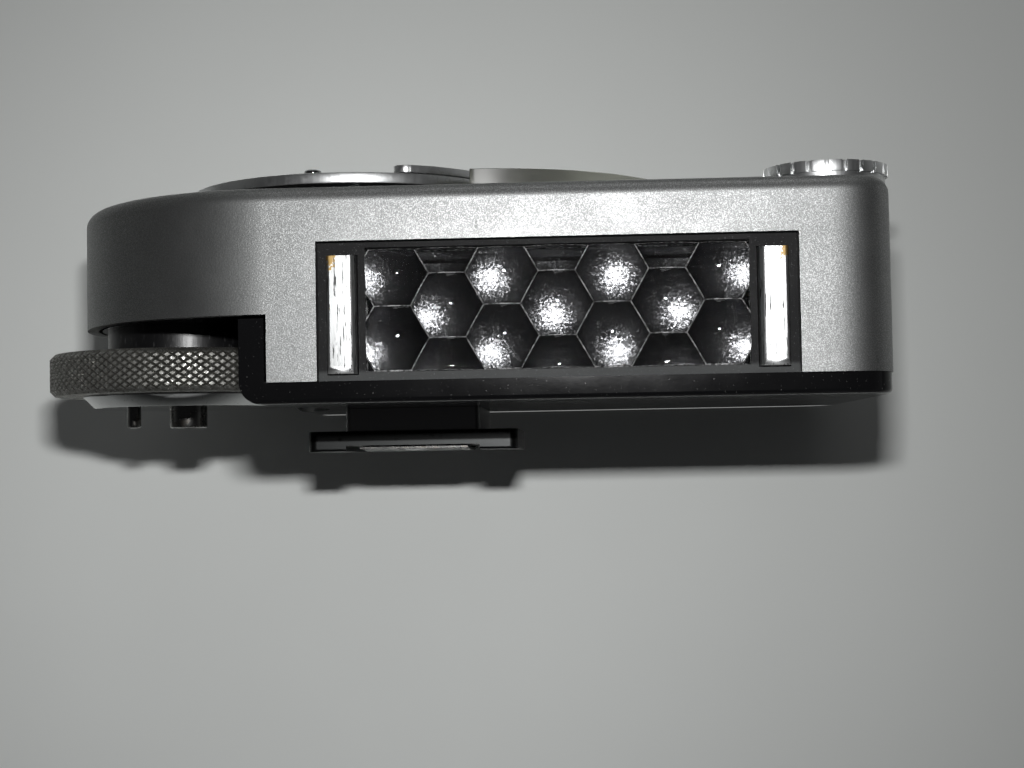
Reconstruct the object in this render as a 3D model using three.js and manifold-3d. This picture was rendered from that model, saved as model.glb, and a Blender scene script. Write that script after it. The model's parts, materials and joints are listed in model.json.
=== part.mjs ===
// Shoe mount light meter: a selenium meter that slides into an accessory shoe and is coupled to a
// shutter dial by the knurled wheel under its rounded end.
// Millimetres, +Z up, front face towards -Y, origin at the centre of the sole of the shoe foot.

import * as THREE from "three";
import { mergeVertices } from "three/addons/utils/BufferGeometryUtils.js";
import Module from "manifold-3d";

const wasm = await Module();
wasm.setup();

// Driving dimensions
const BODY_LENGTH = 69.4;
const BODY_DEPTH = 38;
const BODY_TOP = 21.3;
const FRONT_FROM_FOOT = 24.5;
const NOSE_FROM_FOOT = 29.15;
const BASE_BOTTOM = 3.8;
const SHELL_EDGE = 5.55;
const NOSE_EDGE = 11;
const WALL = 1;
const ROOF = 1;
const CORNER_RADIUS = 4;
const WHEEL_RADIUS = 11.9;
const WHEEL_FROM_LEFT = 9.25;
const WHEEL_FROM_MIDDLE = 3.52;
const WHEEL_BOTTOM = 5.2;
const WHEEL_THICK = 3.6;
const WHEEL_LIFT = 1.7;
const GEAR_MODULE = 0.4;
const WHEEL_TEETH = 34;
const DIAL_TEETH = 41;
const GEAR_LINE = 0.071;
const DIAL_RADIUS = 14.2;
const KNOB_FROM_RIGHT = 4.55;
const KNOB_FROM_FRONT = 8;
const MOVEMENT_FROM_RIGHT = 16.25;
const MOVEMENT_FROM_BACK = 12.5;
const NEEDLE_SWING = Math.PI / 4;
const WINDOW_LEFT = -6.1;
const WINDOW_FROM_RIGHT = 7.85;
const WINDOW_TOP = 16.77;

// Clearances: a fixed fit, a running fit, a seat that is not flat, and how far a cut runs past its piece
const FIT = 0.05;
const RUN = 0.06;
const SEAT = 0.3;
const OVERRUN = 1;

// Fineness of round shapes, as counts
const TURN_STEPS = 24;
const NOSE_STEPS = 28;
const FINE_STEPS = 48;
const SMALL_STEPS = 10;
const PIN_STEPS = 12;
const ARC_STEPS = 5;
const EDGE_STEPS = 4;
const CORNER_STEPS = 3;
const COVER_STEPS = 20;
const COVER_EDGE_STEPS = 2;
const BAND_STEPS = 12;
const SCALE_STEPS = 16;
const LEAF_STEPS = 24;
const COIL_STEPS = 8;
const WIRE_SIDES = 5;
const LENS_DIVISIONS = 3;

// A quarter of a turn, and the distance within which two corners are one
const QUARTER = Math.PI / 2;
const SAME_CORNER = 1e-4;

// Places worked out from the driving dimensions
const FRONT_Y = -FRONT_FROM_FOOT;
const BACK_Y = FRONT_Y + BODY_DEPTH;
const MIDDLE_Y = (FRONT_Y + BACK_Y) / 2;
const LEFT_X = -NOSE_FROM_FOOT;
const RIGHT_X = LEFT_X + BODY_LENGTH;
const NOSE_RADIUS = BODY_DEPTH / 2;
const STEP_X = LEFT_X + NOSE_RADIUS;
const CEILING = BODY_TOP - ROOF;
const WHEEL_X = LEFT_X + WHEEL_FROM_LEFT;
const WHEEL_Y = MIDDLE_Y - WHEEL_FROM_MIDDLE;
const WHEEL_TOP = WHEEL_BOTTOM + WHEEL_THICK;
const GEAR_CENTRES = (GEAR_MODULE * (WHEEL_TEETH + DIAL_TEETH)) / 2;
const DIAL_X = WHEEL_X + GEAR_CENTRES * Math.cos(GEAR_LINE);
const DIAL_Y = WHEEL_Y + GEAR_CENTRES * Math.sin(GEAR_LINE);
const WINDOW_RIGHT = RIGHT_X - WINDOW_FROM_RIGHT;
const KNOB_X = RIGHT_X - KNOB_FROM_RIGHT;
const KNOB_Y = FRONT_Y + KNOB_FROM_FRONT;
const MOVEMENT_X = RIGHT_X - MOVEMENT_FROM_RIGHT;
const MOVEMENT_Y = BACK_Y - MOVEMENT_FROM_BACK;

// Sizes of the pieces
const shell = { edgeRound: 1.3, boss: 1.9, bossHole: 0.75 };
const base = {
  inset: 0.1, wallInset: 0.4, leftBorder: 2.25, roundLeft: 1.8, roundRight: 0.8, roundFront: 0.45,
  easeShare: 0.33, lip: 1, lipHeight: 2, pocketClearance: 0.55, pocketWall: 1.1, noseFloor: 1.2, board: 1.2,
  standoff: 1.6, standoffTop: 8.5,
};
const foot = {
  width: 18.6, length: 18, thick: 1.8, corner: 0.8, edge: 0.25,
  neckWidth: 12, neckLength: 17.4, neckCorner: 0.5, recessWidth: 11.8, recessDepth: 0.5,
};
const leaf = { width: 9.6, length: 16.4, thick: 0.25, rise: 0.2, pad: 2.2, bend: 4.2 };
const rivet = { fromEnd: 1.2, head: 0.95, edgeShare: 0.8, headThick: 0.14, shank: 0.45, depth: 0.9 };
const footScrew = { fromMiddleX: 4, fromMiddleY: 5, head: 1.5, headThick: 0.8, shank: 0.8, depth: 1.5 };
const baseScrew = {
  head: 1.5, headThick: 0.65, headGap: 0.1, sunk: 0.1, shank: 0.7, grip: 3.5, fromRight: 4.65, fromBack: 4.5,
};
const baseScrewMiddleX = 2;
const noseScrew = { fromOutside: 3.3, angle: 2.22 };

const bezel = { gap: 0.15, recess: 0.2, depth: 2.1, flange: 0.8 };
const lens = {
  fromWindowEnd: 3.6, height: 9.42, fromBottom: 0.73, pitchX: 4.42, pitchZ: 5.3, dome: 1, tipRecess: 0.3,
  thick: 2, flange: 0.45, flangeThick: 0.7,
};
const bar = {
  width: 2.4, height: 9.45, belowLens: 0.19, fromWindowEnd: 0.9, proud: 0.5, rear: 2.6,
  round: 0.3, innerRound: 0.7,
};
const cell = { margin: 0.5, thick: 1.2, behindLens: 0.9, ringWidth: 0.9, ringProud: 0.15 };
const holder = { wall: 0.6, back: 1.1, opening: 3.2 };
const strip = { width: 1.6, thick: 0.22, overlap: 1.6, gap: 0.06 };

const collar = { radius: 6.9, wall: 0.9, below: 2.5 };
const bush = { wall: 1.1, flange: 2.3, flangeThick: 0.6, below: 0.7 };
const shaft = { radius: 1.5, spigot: 0.8, spigotLength: 0.65, top: 17 };
const washer = { thick: 0.3, radius: 3.4 };
const knurl = { count: 64, rows: 6, depth: 0.34, chamfer: 0.42 };
const counterbore = { clearance: 0.3, web: 1.3 };
const liftSpring = { radius: 5.3, wire: 0.5, turns: 3 };
const disc = { topRadius: 9.1, bottomRadius: 8.15, thick: 1.1, rim: 0.15 };
const pin = { radius: 0.6, offset: 4.87, length: 1.7, tip: 0.15, sunk: 0.85 };
const hub = { radius: 1.65, length: 1.75, bore: 0.95, boreDepth: 0.75, chamfer: 0.12 };
const gear = {
  hubWall: 1.2, pressure: Math.PI / 9, backlash: 0.1, dedendumShare: 1.25, wheelWidth: 2.6, dialWidth: 0.6,
};

const dial = {
  gap: 0.5, thick: 0.9, chamfer: 0.12, rimWidth: 1.8, web: 0.5, ringWidth: 4.9, play: 0.3, flangeThick: 0.32,
  raised: 0.45, innerStep: 0.5,
};
const dialShaft = {
  radius: 2, shoulder: 2.7, flange: 1.2, flangeThick: 0.7, bushWall: 1, bottom: 14.2, hole: 0.95,
};
const stud = { radius: 0.75, neck: 0.45, height: 0.74, fromRim: 3, angle: -1.758, crownShare: 0.7 };
const dialScrew = { head: 2.1, headThick: 0.7, shank: 0.9, length: 3.5, edge: 0.15 };
const indexPlate = {
  thick: 0.6, fromRim: 0.1, width: 2, start: -1.116, end: -0.14, armStart: -0.45, armReach: 2.5,
};
const indexPin = { radius: 0.5, outsideRim: 1.55, first: -0.38, second: -0.2 };
const windowCover = {
  thick: 1.5, edge: 0.3, fromFront: 2.9, fromFoot: 6.2, behindMiddle: 1.9, end: 0.34, dialGap: 0.6,
  backAngle: 0.52, margin: 1.6, openingFromFoot: 12.6, openingBehindMiddle: 6.7,
};
const knob = {
  radius: 5.13, teeth: 22, turn: -0.1, notch: 0.36, toothShare: 0.76, tipShare: 0.92, thick: 0.9, edge: 0.14,
  collar: 4.9, collarThick: 0.55, above: 0.1,
};
const knobShaft = { radius: 1, inKnob: 0.55, below: 0.5 };
const wiper = { hub: 2.1, reach: 5, halfWidth: 0.8, thick: 0.35, rest: 1.75 };
const board = { bottom: 13.2, thick: 1, left: 5.2, right: 3.1, front: 3.2, back: 6.2 };
const boardPost = { leftX: -4.2, leftY: -2.2, rightX: 2, rightY: 4.9 };
const contact = { orbit: 4.2, radius: 0.7, edgeShare: 0.8, height: 0.65, shank: 0.4 };
const resistor = { radius: 1.15, length: 5, lead: 0.25, stub: 0.7, offsetY: 2.4 };

const plate = { left: 11, right: 9.3, half: 9.6, thick: 1, pillar: 1.1, pillarOrbit: 9.8, scalePost: 0.9 };
const plateScrew = { x: 7.9, backY: 7.6, frontY: -6.2, head: 1.3, headThick: 0.7, shank: 0.7, depth: 1.6 };
const scalePostA = { x: -9.8, y: 0 };
const scalePostB = { x: -7.9, y: -7.9 };
const magnet = { outer: 8.5, inner: 6.6, belowCoil: 0.3 };
const core = { radius: 4.2, armHalf: 0.8, armHeight: 1.6, armGap: 0.25, gap: 0.4 };
const coil = {
  outer: 5.9, side: 1, halfWidth: 1.2, bar: 0.6, bottomGap: 1.5, pivot: 0.35, pivotLength: 0.85,
};
const staff = { radius: 0.4, length: 1.9 };
const hairspring = {
  inner: 0.78, outer: 3, turns: 3, thick: 0.18, height: 0.3, aboveCoil: 0.4, belowCoil: 0.7,
};
const needle = {
  length: 11.5, root: 0.3, tipHalf: 0.12, tail: 3.6, tailHalf: 0.55, hub: 1.1, hubThick: 0.4, thick: 0.2,
  aboveCoil: 1.1, restDegrees: 189.9,
};
const needleRest = THREE.MathUtils.degToRad(needle.restDegrees);
const bridge = { thick: 0.8, halfWidth: 1.7, endRound: 1.7, stud: 0.3, studOrbit: 3.5 };
const jewel = { radius: 1.2, length: 1.4, tipGap: 0.1 };
const scale = { thick: 0.3, aboveCoil: 0.6, margin: 1, coilRadius: 7 };

// Colours from the object's finishes
function finish(color, roughness, metalness) {
  return new THREE.MeshStandardMaterial({ color, roughness, metalness, flatShading: true });
}
const satinChrome = finish(0xb4b7b4, 0.42, 0.9);
const knurledChrome = finish(0x8d918c, 0.35, 0.9);
const brightSteel = finish(0xd5d8d8, 0.15, 1);
const blackMoulding = finish(0x121316, 0.45, 0);
const clearLens = finish(0x2a2f3c, 0.08, 0);
const clearWindow = finish(0xb9bd9a, 0.06, 0);
const darkCell = finish(0x2b2a33, 0.3, 0.4);
const plainSteel = finish(0x9a9d9f, 0.4, 0.9);
const gearBrass = finish(0xb8974f, 0.35, 0.9);
const paleScale = finish(0xe4e2d6, 0.6, 0);
const magnetIron = finish(0x4c4e52, 0.6, 0.8);
const copperCoil = finish(0xa5653a, 0.45, 0.6);
const boardBrown = finish(0x5e3f25, 0.6, 0);
const needleRed = finish(0x8f2a20, 0.5, 0);

// Helpers: solids
function toSolid(geometry) {
  const bare = geometry.clone();
  bare.deleteAttribute("normal");
  bare.deleteAttribute("uv");
  const merged = mergeVertices(bare, SAME_CORNER);
  const corners = merged.index.array;
  const kept = [];
  for (let i = 0; i < corners.length; i += 3) {
    const [a, b, c] = corners.slice(i, i + 3);
    if (a !== b && b !== c && c !== a) kept.push(a, b, c);
  }
  const vertProperties = new Float32Array(merged.attributes.position.array);
  return new wasm.Manifold(new wasm.Mesh({ numProp: 3, vertProperties, triVerts: new Uint32Array(kept) }));
}

function toGeometry(solid) {
  const mesh = solid.getMesh();
  const geometry = new THREE.BufferGeometry();
  geometry.setAttribute("position", new THREE.BufferAttribute(mesh.vertProperties, 3));
  geometry.setIndex(new THREE.BufferAttribute(mesh.triVerts, 1));
  const faceted = geometry.toNonIndexed();
  faceted.computeVertexNormals();
  return faceted;
}

// A closed solid through rings of points [x, y, z], counter-clockwise as seen from ahead of the last ring
function loft(rings, crossed = false) {
  const count = rings[0].length;
  const index = [];
  for (let layer = 0; layer + 1 < rings.length; layer += 1) {
    for (let i = 0; i < count; i += 1) {
      const a = layer * count + i;
      const b = layer * count + ((i + 1) % count);
      const [c, d] = [b + count, a + count];
      if (crossed && (i + layer) % 2) index.push(a, b, d, b, c, d);
      else index.push(a, b, c, a, c, d);
    }
  }
  const outline = rings[0].map(([x, y]) => new THREE.Vector2(x, y));
  const flat = Math.abs(THREE.ShapeUtils.area(outline)) > 0 && rings[0].every((p) => p[2] === rings[0][0][2]);
  const lid = flat ? THREE.ShapeUtils.triangulateShape(outline, []) : fan(count);
  const last = (rings.length - 1) * count;
  lid.forEach(([a, b, c]) => index.push(c, b, a, last + a, last + b, last + c));
  const geometry = new THREE.BufferGeometry();
  geometry.setAttribute("position", new THREE.Float32BufferAttribute(rings.flat(2), 3));
  geometry.setIndex(index);
  return toSolid(geometry);
}

function fan(count) {
  return Array.from({ length: count - 2 }, (_, i) => [0, i + 1, i + 2]);
}

function level(outline, z) {
  return outline.map(([x, y]) => [x, y, z]);
}

function prism(outline, bottom, top) {
  return loft([level(outline, bottom), level(outline, top)]);
}

function block(x0, x1, y0, y1, z0, z1) {
  const box = new THREE.BoxGeometry(x1 - x0, y1 - y0, z1 - z0);
  return toSolid(box.translate((x0 + x1) / 2, (y0 + y1) / 2, (z0 + z1) / 2));
}

// A solid of revolution about Z, from a closed profile of [radius, height], counter-clockwise
function turned(profile, steps = TURN_STEPS) {
  const points = profile.map(([radius, z]) => new THREE.Vector2(radius, z));
  if (profile[0][0] > 0) points.push(points[0].clone());
  return toSolid(new THREE.LatheGeometry(points, steps).rotateX(QUARTER));
}

function rod(radius, bottom, top, steps = TURN_STEPS) {
  return turned([[0, bottom], [radius, bottom], [radius, top], [0, top]], steps);
}

function tube(inner, outer, bottom, top, steps = TURN_STEPS) {
  return turned([[inner, bottom], [outer, bottom], [outer, top], [inner, top]], steps);
}

function rodAt(x, y, radius, bottom, top, steps = SMALL_STEPS) {
  return rod(radius, bottom, top, steps).translate([x, y, 0]);
}

// A profile of [x, z] drawn in the front view and carried along Y
function frontProfile(points, y0, y1) {
  const shape = new THREE.Shape(points.map(([x, z]) => new THREE.Vector2(x, z)));
  const geometry = new THREE.ExtrudeGeometry(shape, { depth: y1 - y0, bevelEnabled: false, steps: 1 });
  return toSolid(geometry.rotateX(QUARTER).translate(0, y1, 0));
}

// A profile of [y, z] drawn in the side view and carried along X
function sideProfile(points, x0, x1) {
  const shape = new THREE.Shape(points.map(([y, z]) => new THREE.Vector2(y, z)));
  const geometry = new THREE.ExtrudeGeometry(shape, { depth: x1 - x0, bevelEnabled: false, steps: 1 });
  const turn = new THREE.Matrix4().makeBasis(
    new THREE.Vector3(0, 1, 0),
    new THREE.Vector3(0, 0, 1),
    new THREE.Vector3(1, 0, 0),
  );
  return toSolid(geometry.applyMatrix4(turn).translate(x0, 0, 0));
}

function joined(solids) {
  return solids.reduce((whole, piece) => whole.add(piece));
}

function cutBy(solid, cutters) {
  return cutters.reduce((left, cutter) => left.subtract(cutter), solid);
}

// Helpers: outlines
function arc(x, y, radius, from, to, steps = ARC_STEPS) {
  return Array.from({ length: steps + 1 }, (_, i) => {
    const angle = from + ((to - from) * i) / steps;
    return [x + radius * Math.cos(angle), y + radius * Math.sin(angle)];
  });
}

function roundedRectangle(x0, x1, y0, y1, radius, steps = ARC_STEPS) {
  return [
    ...arc(x1 - radius, y1 - radius, radius, 0, QUARTER, steps),
    ...arc(x0 + radius, y1 - radius, radius, QUARTER, 2 * QUARTER, steps),
    ...arc(x0 + radius, y0 + radius, radius, 2 * QUARTER, 3 * QUARTER, steps),
    ...arc(x1 - radius, y0 + radius, radius, 3 * QUARTER, 4 * QUARTER, steps),
  ];
}

// The housing in plan: a half round nose and two rounded corners, drawn in by an inset
function bodyOutline(inset) {
  const corner = CORNER_RADIUS - inset;
  const x = RIGHT_X - CORNER_RADIUS;
  return [
    ...arc(STEP_X, MIDDLE_Y, NOSE_RADIUS - inset, QUARTER, 3 * QUARTER, NOSE_STEPS),
    ...arc(x, FRONT_Y + CORNER_RADIUS, corner, 3 * QUARTER, 4 * QUARTER),
    ...arc(x, BACK_Y - CORNER_RADIUS, corner, 0, QUARTER),
  ];
}

// Rings of an outline that is drawn in at its upper edge along a quarter round
function roundedTop(outlineAt, bottom, top, radius, steps) {
  const rings = [level(outlineAt(0), bottom)];
  for (let i = 0; i <= steps; i += 1) {
    const angle = QUARTER * (i / steps);
    rings.push(level(outlineAt(radius * (1 - Math.cos(angle))), top - radius * (1 - Math.sin(angle))));
  }
  return loft(rings);
}

// Helpers: the scene graph
const meter = new THREE.Group();
const wheelGroup = new THREE.Group();
wheelGroup.position.set(WHEEL_X, WHEEL_Y, 0);
const dialGroup = new THREE.Group();
dialGroup.position.set(DIAL_X, DIAL_Y, 0);
const knobGroup = new THREE.Group();
knobGroup.position.set(KNOB_X, KNOB_Y, 0);
const movementGroup = new THREE.Group();
movementGroup.position.set(MOVEMENT_X, MOVEMENT_Y, 0);
meter.add(wheelGroup, dialGroup, knobGroup, movementGroup);

function place(name, solid, material, group = meter) {
  const mesh = new THREE.Mesh(toGeometry(solid), material);
  mesh.name = name;
  group.add(mesh);
}

// The window of the cell, in the housing's front wall
const windowMiddleX = (WINDOW_LEFT + WINDOW_RIGHT) / 2;
const lensWidth = WINDOW_RIGHT - WINDOW_LEFT - 2 * lens.fromWindowEnd;
const lensBottom = SHELL_EDGE + lens.fromBottom;
const lensMiddleZ = lensBottom + lens.height / 2;
const bezelFrontY = FRONT_Y + bezel.recess;
const bezelBackY = bezelFrontY + bezel.depth;
const lensBackY = FRONT_Y + lens.tipRecess + lens.thick;
const cellFrontY = lensBackY + cell.behindLens;
const holderBackY = cellFrontY + cell.thick + holder.back;

// Levels of the wheel, its bearing and the gears
const noseFloorTop = NOSE_EDGE + base.noseFloor;
const bushTop = noseFloorTop + bush.flangeThick;
const wheelGearBottom = bushTop + washer.thick + FIT;
const dialGearBottom = wheelGearBottom + WHEEL_LIFT + FIT;
const wheelWebTop = WHEEL_BOTTOM + counterbore.web;
const discBottom = WHEEL_BOTTOM - disc.thick;
const dialBottom = BODY_TOP + dial.gap;
const dialTop = dialBottom + dial.thick;
const ringInner = DIAL_RADIUS - dial.ringWidth;
const coverTop = BODY_TOP + windowCover.thick;
const coverX = windowCover.fromFoot;
const coverY = MIDDLE_Y + windowCover.behindMiddle;
const coverRadius = coverY - FRONT_Y - windowCover.fromFront;
const openingBackY = MIDDLE_Y + windowCover.openingBehindMiddle;

// Levels of the movement, from its plate up
const plateTop = base.standoffTop + plate.thick;
const coilBottom = plateTop + coil.bottomGap;
const coilTop = CEILING - SEAT - jewel.length - jewel.tipGap - staff.length;
const magnetTop = coilTop - magnet.belowCoil;
const scaleTop = coilTop + scale.aboveCoil;
const lowerSpringBottom = coilBottom - hairspring.belowCoil;
const bridgeBottom = coilTop + staff.length + jewel.tipGap + FIT;
const pillarAngle = needleRest + NEEDLE_SWING / 2 + QUARTER;

function throughRoof(x, y, radius, steps = SMALL_STEPS) {
  return rodAt(x, y, radius, CEILING - OVERRUN, BODY_TOP + OVERRUN, steps);
}

// The housing: a chromed shell, open below, stepped up over the wheel
function buildCaseShell() {
  const outside = roundedTop(bodyOutline, SHELL_EDGE, BODY_TOP, shell.edgeRound, EDGE_STEPS);
  const inside = prism(bodyOutline(WALL), SHELL_EDGE - OVERRUN, CEILING);
  const floorBoss = (x, y) => rodAt(x, y, shell.boss, SHELL_EDGE, CEILING + ROOF / 2);
  const noseBoss = rodAt(noseScrewX, noseScrewY, shell.boss, noseFloorTop, CEILING + ROOF / 2);
  const bosses = [...floorScrews.map(([x, y]) => floorBoss(x, y)), noseBoss.intersect(outside)];
  const screwHole = (x, y, z) => rodAt(x, y, shell.bossHole, z - OVERRUN, z + baseScrew.grip + OVERRUN);
  return cutBy(joined([outside.subtract(inside), ...bosses]), [
    block(LEFT_X - OVERRUN, STEP_X, FRONT_Y - OVERRUN, BACK_Y + OVERRUN, SHELL_EDGE - OVERRUN, NOSE_EDGE),
    block(
      WINDOW_LEFT, WINDOW_RIGHT, FRONT_Y - OVERRUN, FRONT_Y + WALL + FIT,
      SHELL_EDGE - OVERRUN, WINDOW_TOP,
    ),
    throughRoof(DIAL_X, DIAL_Y, dialShaft.radius + dialShaft.bushWall + FIT, TURN_STEPS),
    throughRoof(KNOB_X, KNOB_Y, knobShaft.radius + RUN),
    prism(openingOutline(), CEILING - OVERRUN, BODY_TOP + OVERRUN),
    ...indexPinPlaces().map(([x, y]) => throughRoof(x, y, indexPin.radius + FIT)),
    ...floorScrews.map(([x, y]) => screwHole(x, y, SHELL_EDGE)),
    screwHole(noseScrewX, noseScrewY, noseFloorTop),
  ]);
}

// Screws that hold the base to the housing: two through the floor, one through the floor of the nose
const floorScrews = [
  [RIGHT_X - baseScrew.fromRight, BACK_Y - baseScrew.fromBack],
  [baseScrewMiddleX, BACK_Y - baseScrew.fromBack],
];
const noseScrewX = STEP_X + (NOSE_RADIUS - noseScrew.fromOutside) * Math.cos(noseScrew.angle);
const noseScrewY = MIDDLE_Y + (NOSE_RADIUS - noseScrew.fromOutside) * Math.sin(noseScrew.angle);

function screwFromBelow(x, y, underside, floorTop) {
  const seat = underside + baseScrew.sunk;
  const neck = seat + baseScrew.headThick;
  const top = floorTop + baseScrew.grip;
  const { head, shank } = baseScrew;
  return turned([[0, seat], [head, seat], [head, neck], [shank, neck], [shank, top], [0, top]], SMALL_STEPS)
    .translate([x, y, 0]);
}

function screwCut(x, y, underside) {
  const neck = underside + baseScrew.sunk + baseScrew.headThick + FIT;
  const head = rodAt(x, y, baseScrew.head + baseScrew.headGap, underside - OVERRUN, neck);
  return head.add(rodAt(x, y, baseScrew.shank + FIT, underside, underside + base.pocketWall + OVERRUN));
}

// The black moulding that closes the shell: floor, stepped wall with a round pocket, and nose floor
function buildBaseCover() {
  const left = STEP_X - base.leftBorder;
  const right = RIGHT_X - base.inset;
  const inner = WALL + SEAT;
  const pocket = WHEEL_RADIUS + base.pocketClearance;
  const bend = pocket + base.pocketWall;
  const { roundLeft, roundRight } = base;
  const profile = [
    ...arc(left + roundLeft, BASE_BOTTOM + roundLeft, roundLeft, 2 * QUARTER, 3 * QUARTER),
    ...arc(right - roundRight, BASE_BOTTOM + roundRight, roundRight, 3 * QUARTER, 4 * QUARTER, EDGE_STEPS),
    [right, SHELL_EDGE],
    [STEP_X, SHELL_EDGE],
    [STEP_X - SEAT, NOSE_EDGE - SEAT],
    [left, NOSE_EDGE - SEAT],
  ];
  const squareLeft = (inset) => {
    const corner = CORNER_RADIUS - inset;
    const x = RIGHT_X - CORNER_RADIUS;
    return [
      [left, BACK_Y - inset],
      [left, FRONT_Y + inset],
      ...arc(x, FRONT_Y + CORNER_RADIUS, corner, 3 * QUARTER, 4 * QUARTER),
      ...arc(x, BACK_Y - CORNER_RADIUS, corner, 0, QUARTER),
    ];
  };
  const ease = base.roundFront * base.easeShare;
  const plan = loft([
    level(squareLeft(base.inset + base.roundFront), BASE_BOTTOM),
    level(squareLeft(base.inset + ease), BASE_BOTTOM + ease),
    level(squareLeft(base.inset), BASE_BOTTOM + base.roundFront),
    level(squareLeft(base.inset), NOSE_EDGE),
  ]);
  const tray = frontProfile(profile, FRONT_Y, BACK_Y).intersect(plan);
  const within = prism(bodyOutline(inner), BASE_BOTTOM, noseFloorTop);
  const room = prism(bodyOutline(inner + base.lip), SHELL_EDGE, noseFloorTop + OVERRUN);
  const far = STEP_X + inner + base.lip;
  const lipStartY = bezelBackY + cell.behindLens + cell.thick;
  const footing = SHELL_EDGE - base.roundFront;
  const lip = prism(bodyOutline(inner), footing, SHELL_EDGE + base.lipHeight)
    .subtract(room)
    .intersect(block(far, RIGHT_X, lipStartY, BACK_Y, BASE_BOTTOM, NOSE_EDGE));
  const noseFloor = within.intersect(
    block(LEFT_X, WHEEL_X + bend, FRONT_Y, BACK_Y, NOSE_EDGE, noseFloorTop),
  );
  const innerWall = within.intersect(
    block(
      left + base.wallInset, STEP_X - SEAT - base.wallInset, FRONT_Y, BACK_Y,
      (SHELL_EDGE + NOSE_EDGE) / 2, NOSE_EDGE + base.noseFloor / 2,
    ),
  );
  const bendWall = tube(pocket, bend, footing, NOSE_EDGE + base.noseFloor / 2, FINE_STEPS)
    .translate([WHEEL_X, WHEEL_Y, 0])
    .intersect(within)
    .intersect(block(left, RIGHT_X, FRONT_Y, BACK_Y, BASE_BOTTOM, noseFloorTop));
  const posts = [
    ...standoffPlaces().map(([x, y]) => rodAt(x, y, base.standoff, footing, base.standoffTop)),
    ...boardPostPlaces().map(([x, y]) => rodAt(x, y, base.board, footing, board.bottom)),
  ];
  const bushHole = shaft.radius + RUN + bush.wall + FIT;
  const footHole = (x, y) => rodAt(x, y, footScrew.shank + FIT, BASE_BOTTOM - OVERRUN, SHELL_EDGE + OVERRUN);
  const holeFloor = base.standoffTop - plateScrew.depth - FIT;
  const plateHole = (x, y) => rodAt(x, y, plateScrew.shank + FIT, holeFloor, base.standoffTop + OVERRUN);
  const cellRoom = block(
    WINDOW_LEFT - bezel.flange - SEAT, RIGHT_X, FRONT_Y, holderBackY + SEAT,
    SHELL_EDGE, noseFloorTop + OVERRUN,
  );
  return cutBy(joined([tray, noseFloor, innerWall, bendWall, lip, ...posts]), [
    cellRoom,
    rodAt(WHEEL_X, WHEEL_Y, pocket, BASE_BOTTOM - OVERRUN, NOSE_EDGE, FINE_STEPS),
    rodAt(WHEEL_X, WHEEL_Y, bushHole, NOSE_EDGE - OVERRUN, noseFloorTop + OVERRUN, TURN_STEPS),
    ...footScrewPlaces().map(([x, y]) => footHole(x, y)),
    ...floorScrews.map(([x, y]) => screwCut(x, y, BASE_BOTTOM)),
    screwCut(noseScrewX, noseScrewY, NOSE_EDGE),
    ...plateScrewPlaces().map(([x, y]) => plateHole(x, y)),
  ]);
}

function footScrewPlaces() {
  return [
    [-footScrew.fromMiddleX, footScrew.fromMiddleY],
    [footScrew.fromMiddleX, -footScrew.fromMiddleY],
  ];
}

function plateScrewPlaces() {
  return [
    [MOVEMENT_X + plateScrew.x, MOVEMENT_Y + plateScrew.backY],
    [MOVEMENT_X + plateScrew.x, MOVEMENT_Y + plateScrew.frontY],
  ];
}

function standoffPlaces() {
  const leftX = MOVEMENT_X - plate.left + base.standoff;
  return [
    ...plateScrewPlaces(),
    [leftX, MOVEMENT_Y + plateScrew.backY],
    [leftX, MOVEMENT_Y + plateScrew.frontY],
  ];
}

function boardPostPlaces() {
  return [
    [KNOB_X + boardPost.leftX, KNOB_Y + boardPost.leftY],
    [KNOB_X + boardPost.rightX, KNOB_Y + boardPost.rightY],
  ];
}

// The shoe foot: a flanged steel plate on a neck, its sole hollowed for the leaf spring
function buildShoeFoot() {
  const half = foot.width / 2;
  const reach = foot.length / 2;
  const flat = (inset) =>
    roundedRectangle(-half + inset, half - inset, -reach + inset, reach - inset, foot.corner, CORNER_STEPS);
  const flange = loft([
    level(flat(foot.edge), 0),
    level(flat(0), foot.edge),
    level(flat(0), foot.thick - foot.edge),
    level(flat(foot.edge), foot.thick),
  ]);
  const neckHalf = foot.neckWidth / 2;
  const neckReach = foot.neckLength / 2;
  const neck = roundedRectangle(-neckHalf, neckHalf, -neckReach, neckReach, foot.neckCorner, EDGE_STEPS);
  const recess = foot.recessWidth / 2;
  const screwBottom = BASE_BOTTOM - footScrew.depth - FIT;
  const screwHole = (x, y) => rodAt(x, y, footScrew.shank + FIT, screwBottom, BASE_BOTTOM + OVERRUN);
  const rivetTop = leaf.rise + leaf.thick + rivet.depth + FIT;
  return cutBy(flange.add(prism(neck, foot.thick / 2, BASE_BOTTOM)), [
    block(-recess, recess, -reach - OVERRUN, reach + OVERRUN, -OVERRUN, foot.recessDepth),
    ...footScrewPlaces().map(([x, y]) => screwHole(x, y)),
    ...rivetPlaces().map(([x, y]) => rodAt(x, y, rivet.shank + FIT, 0, rivetTop)),
  ]);
}

function rivetPlaces() {
  const y = leaf.length / 2 - rivet.fromEnd;
  return [[0, -y], [0, y]];
}

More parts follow.
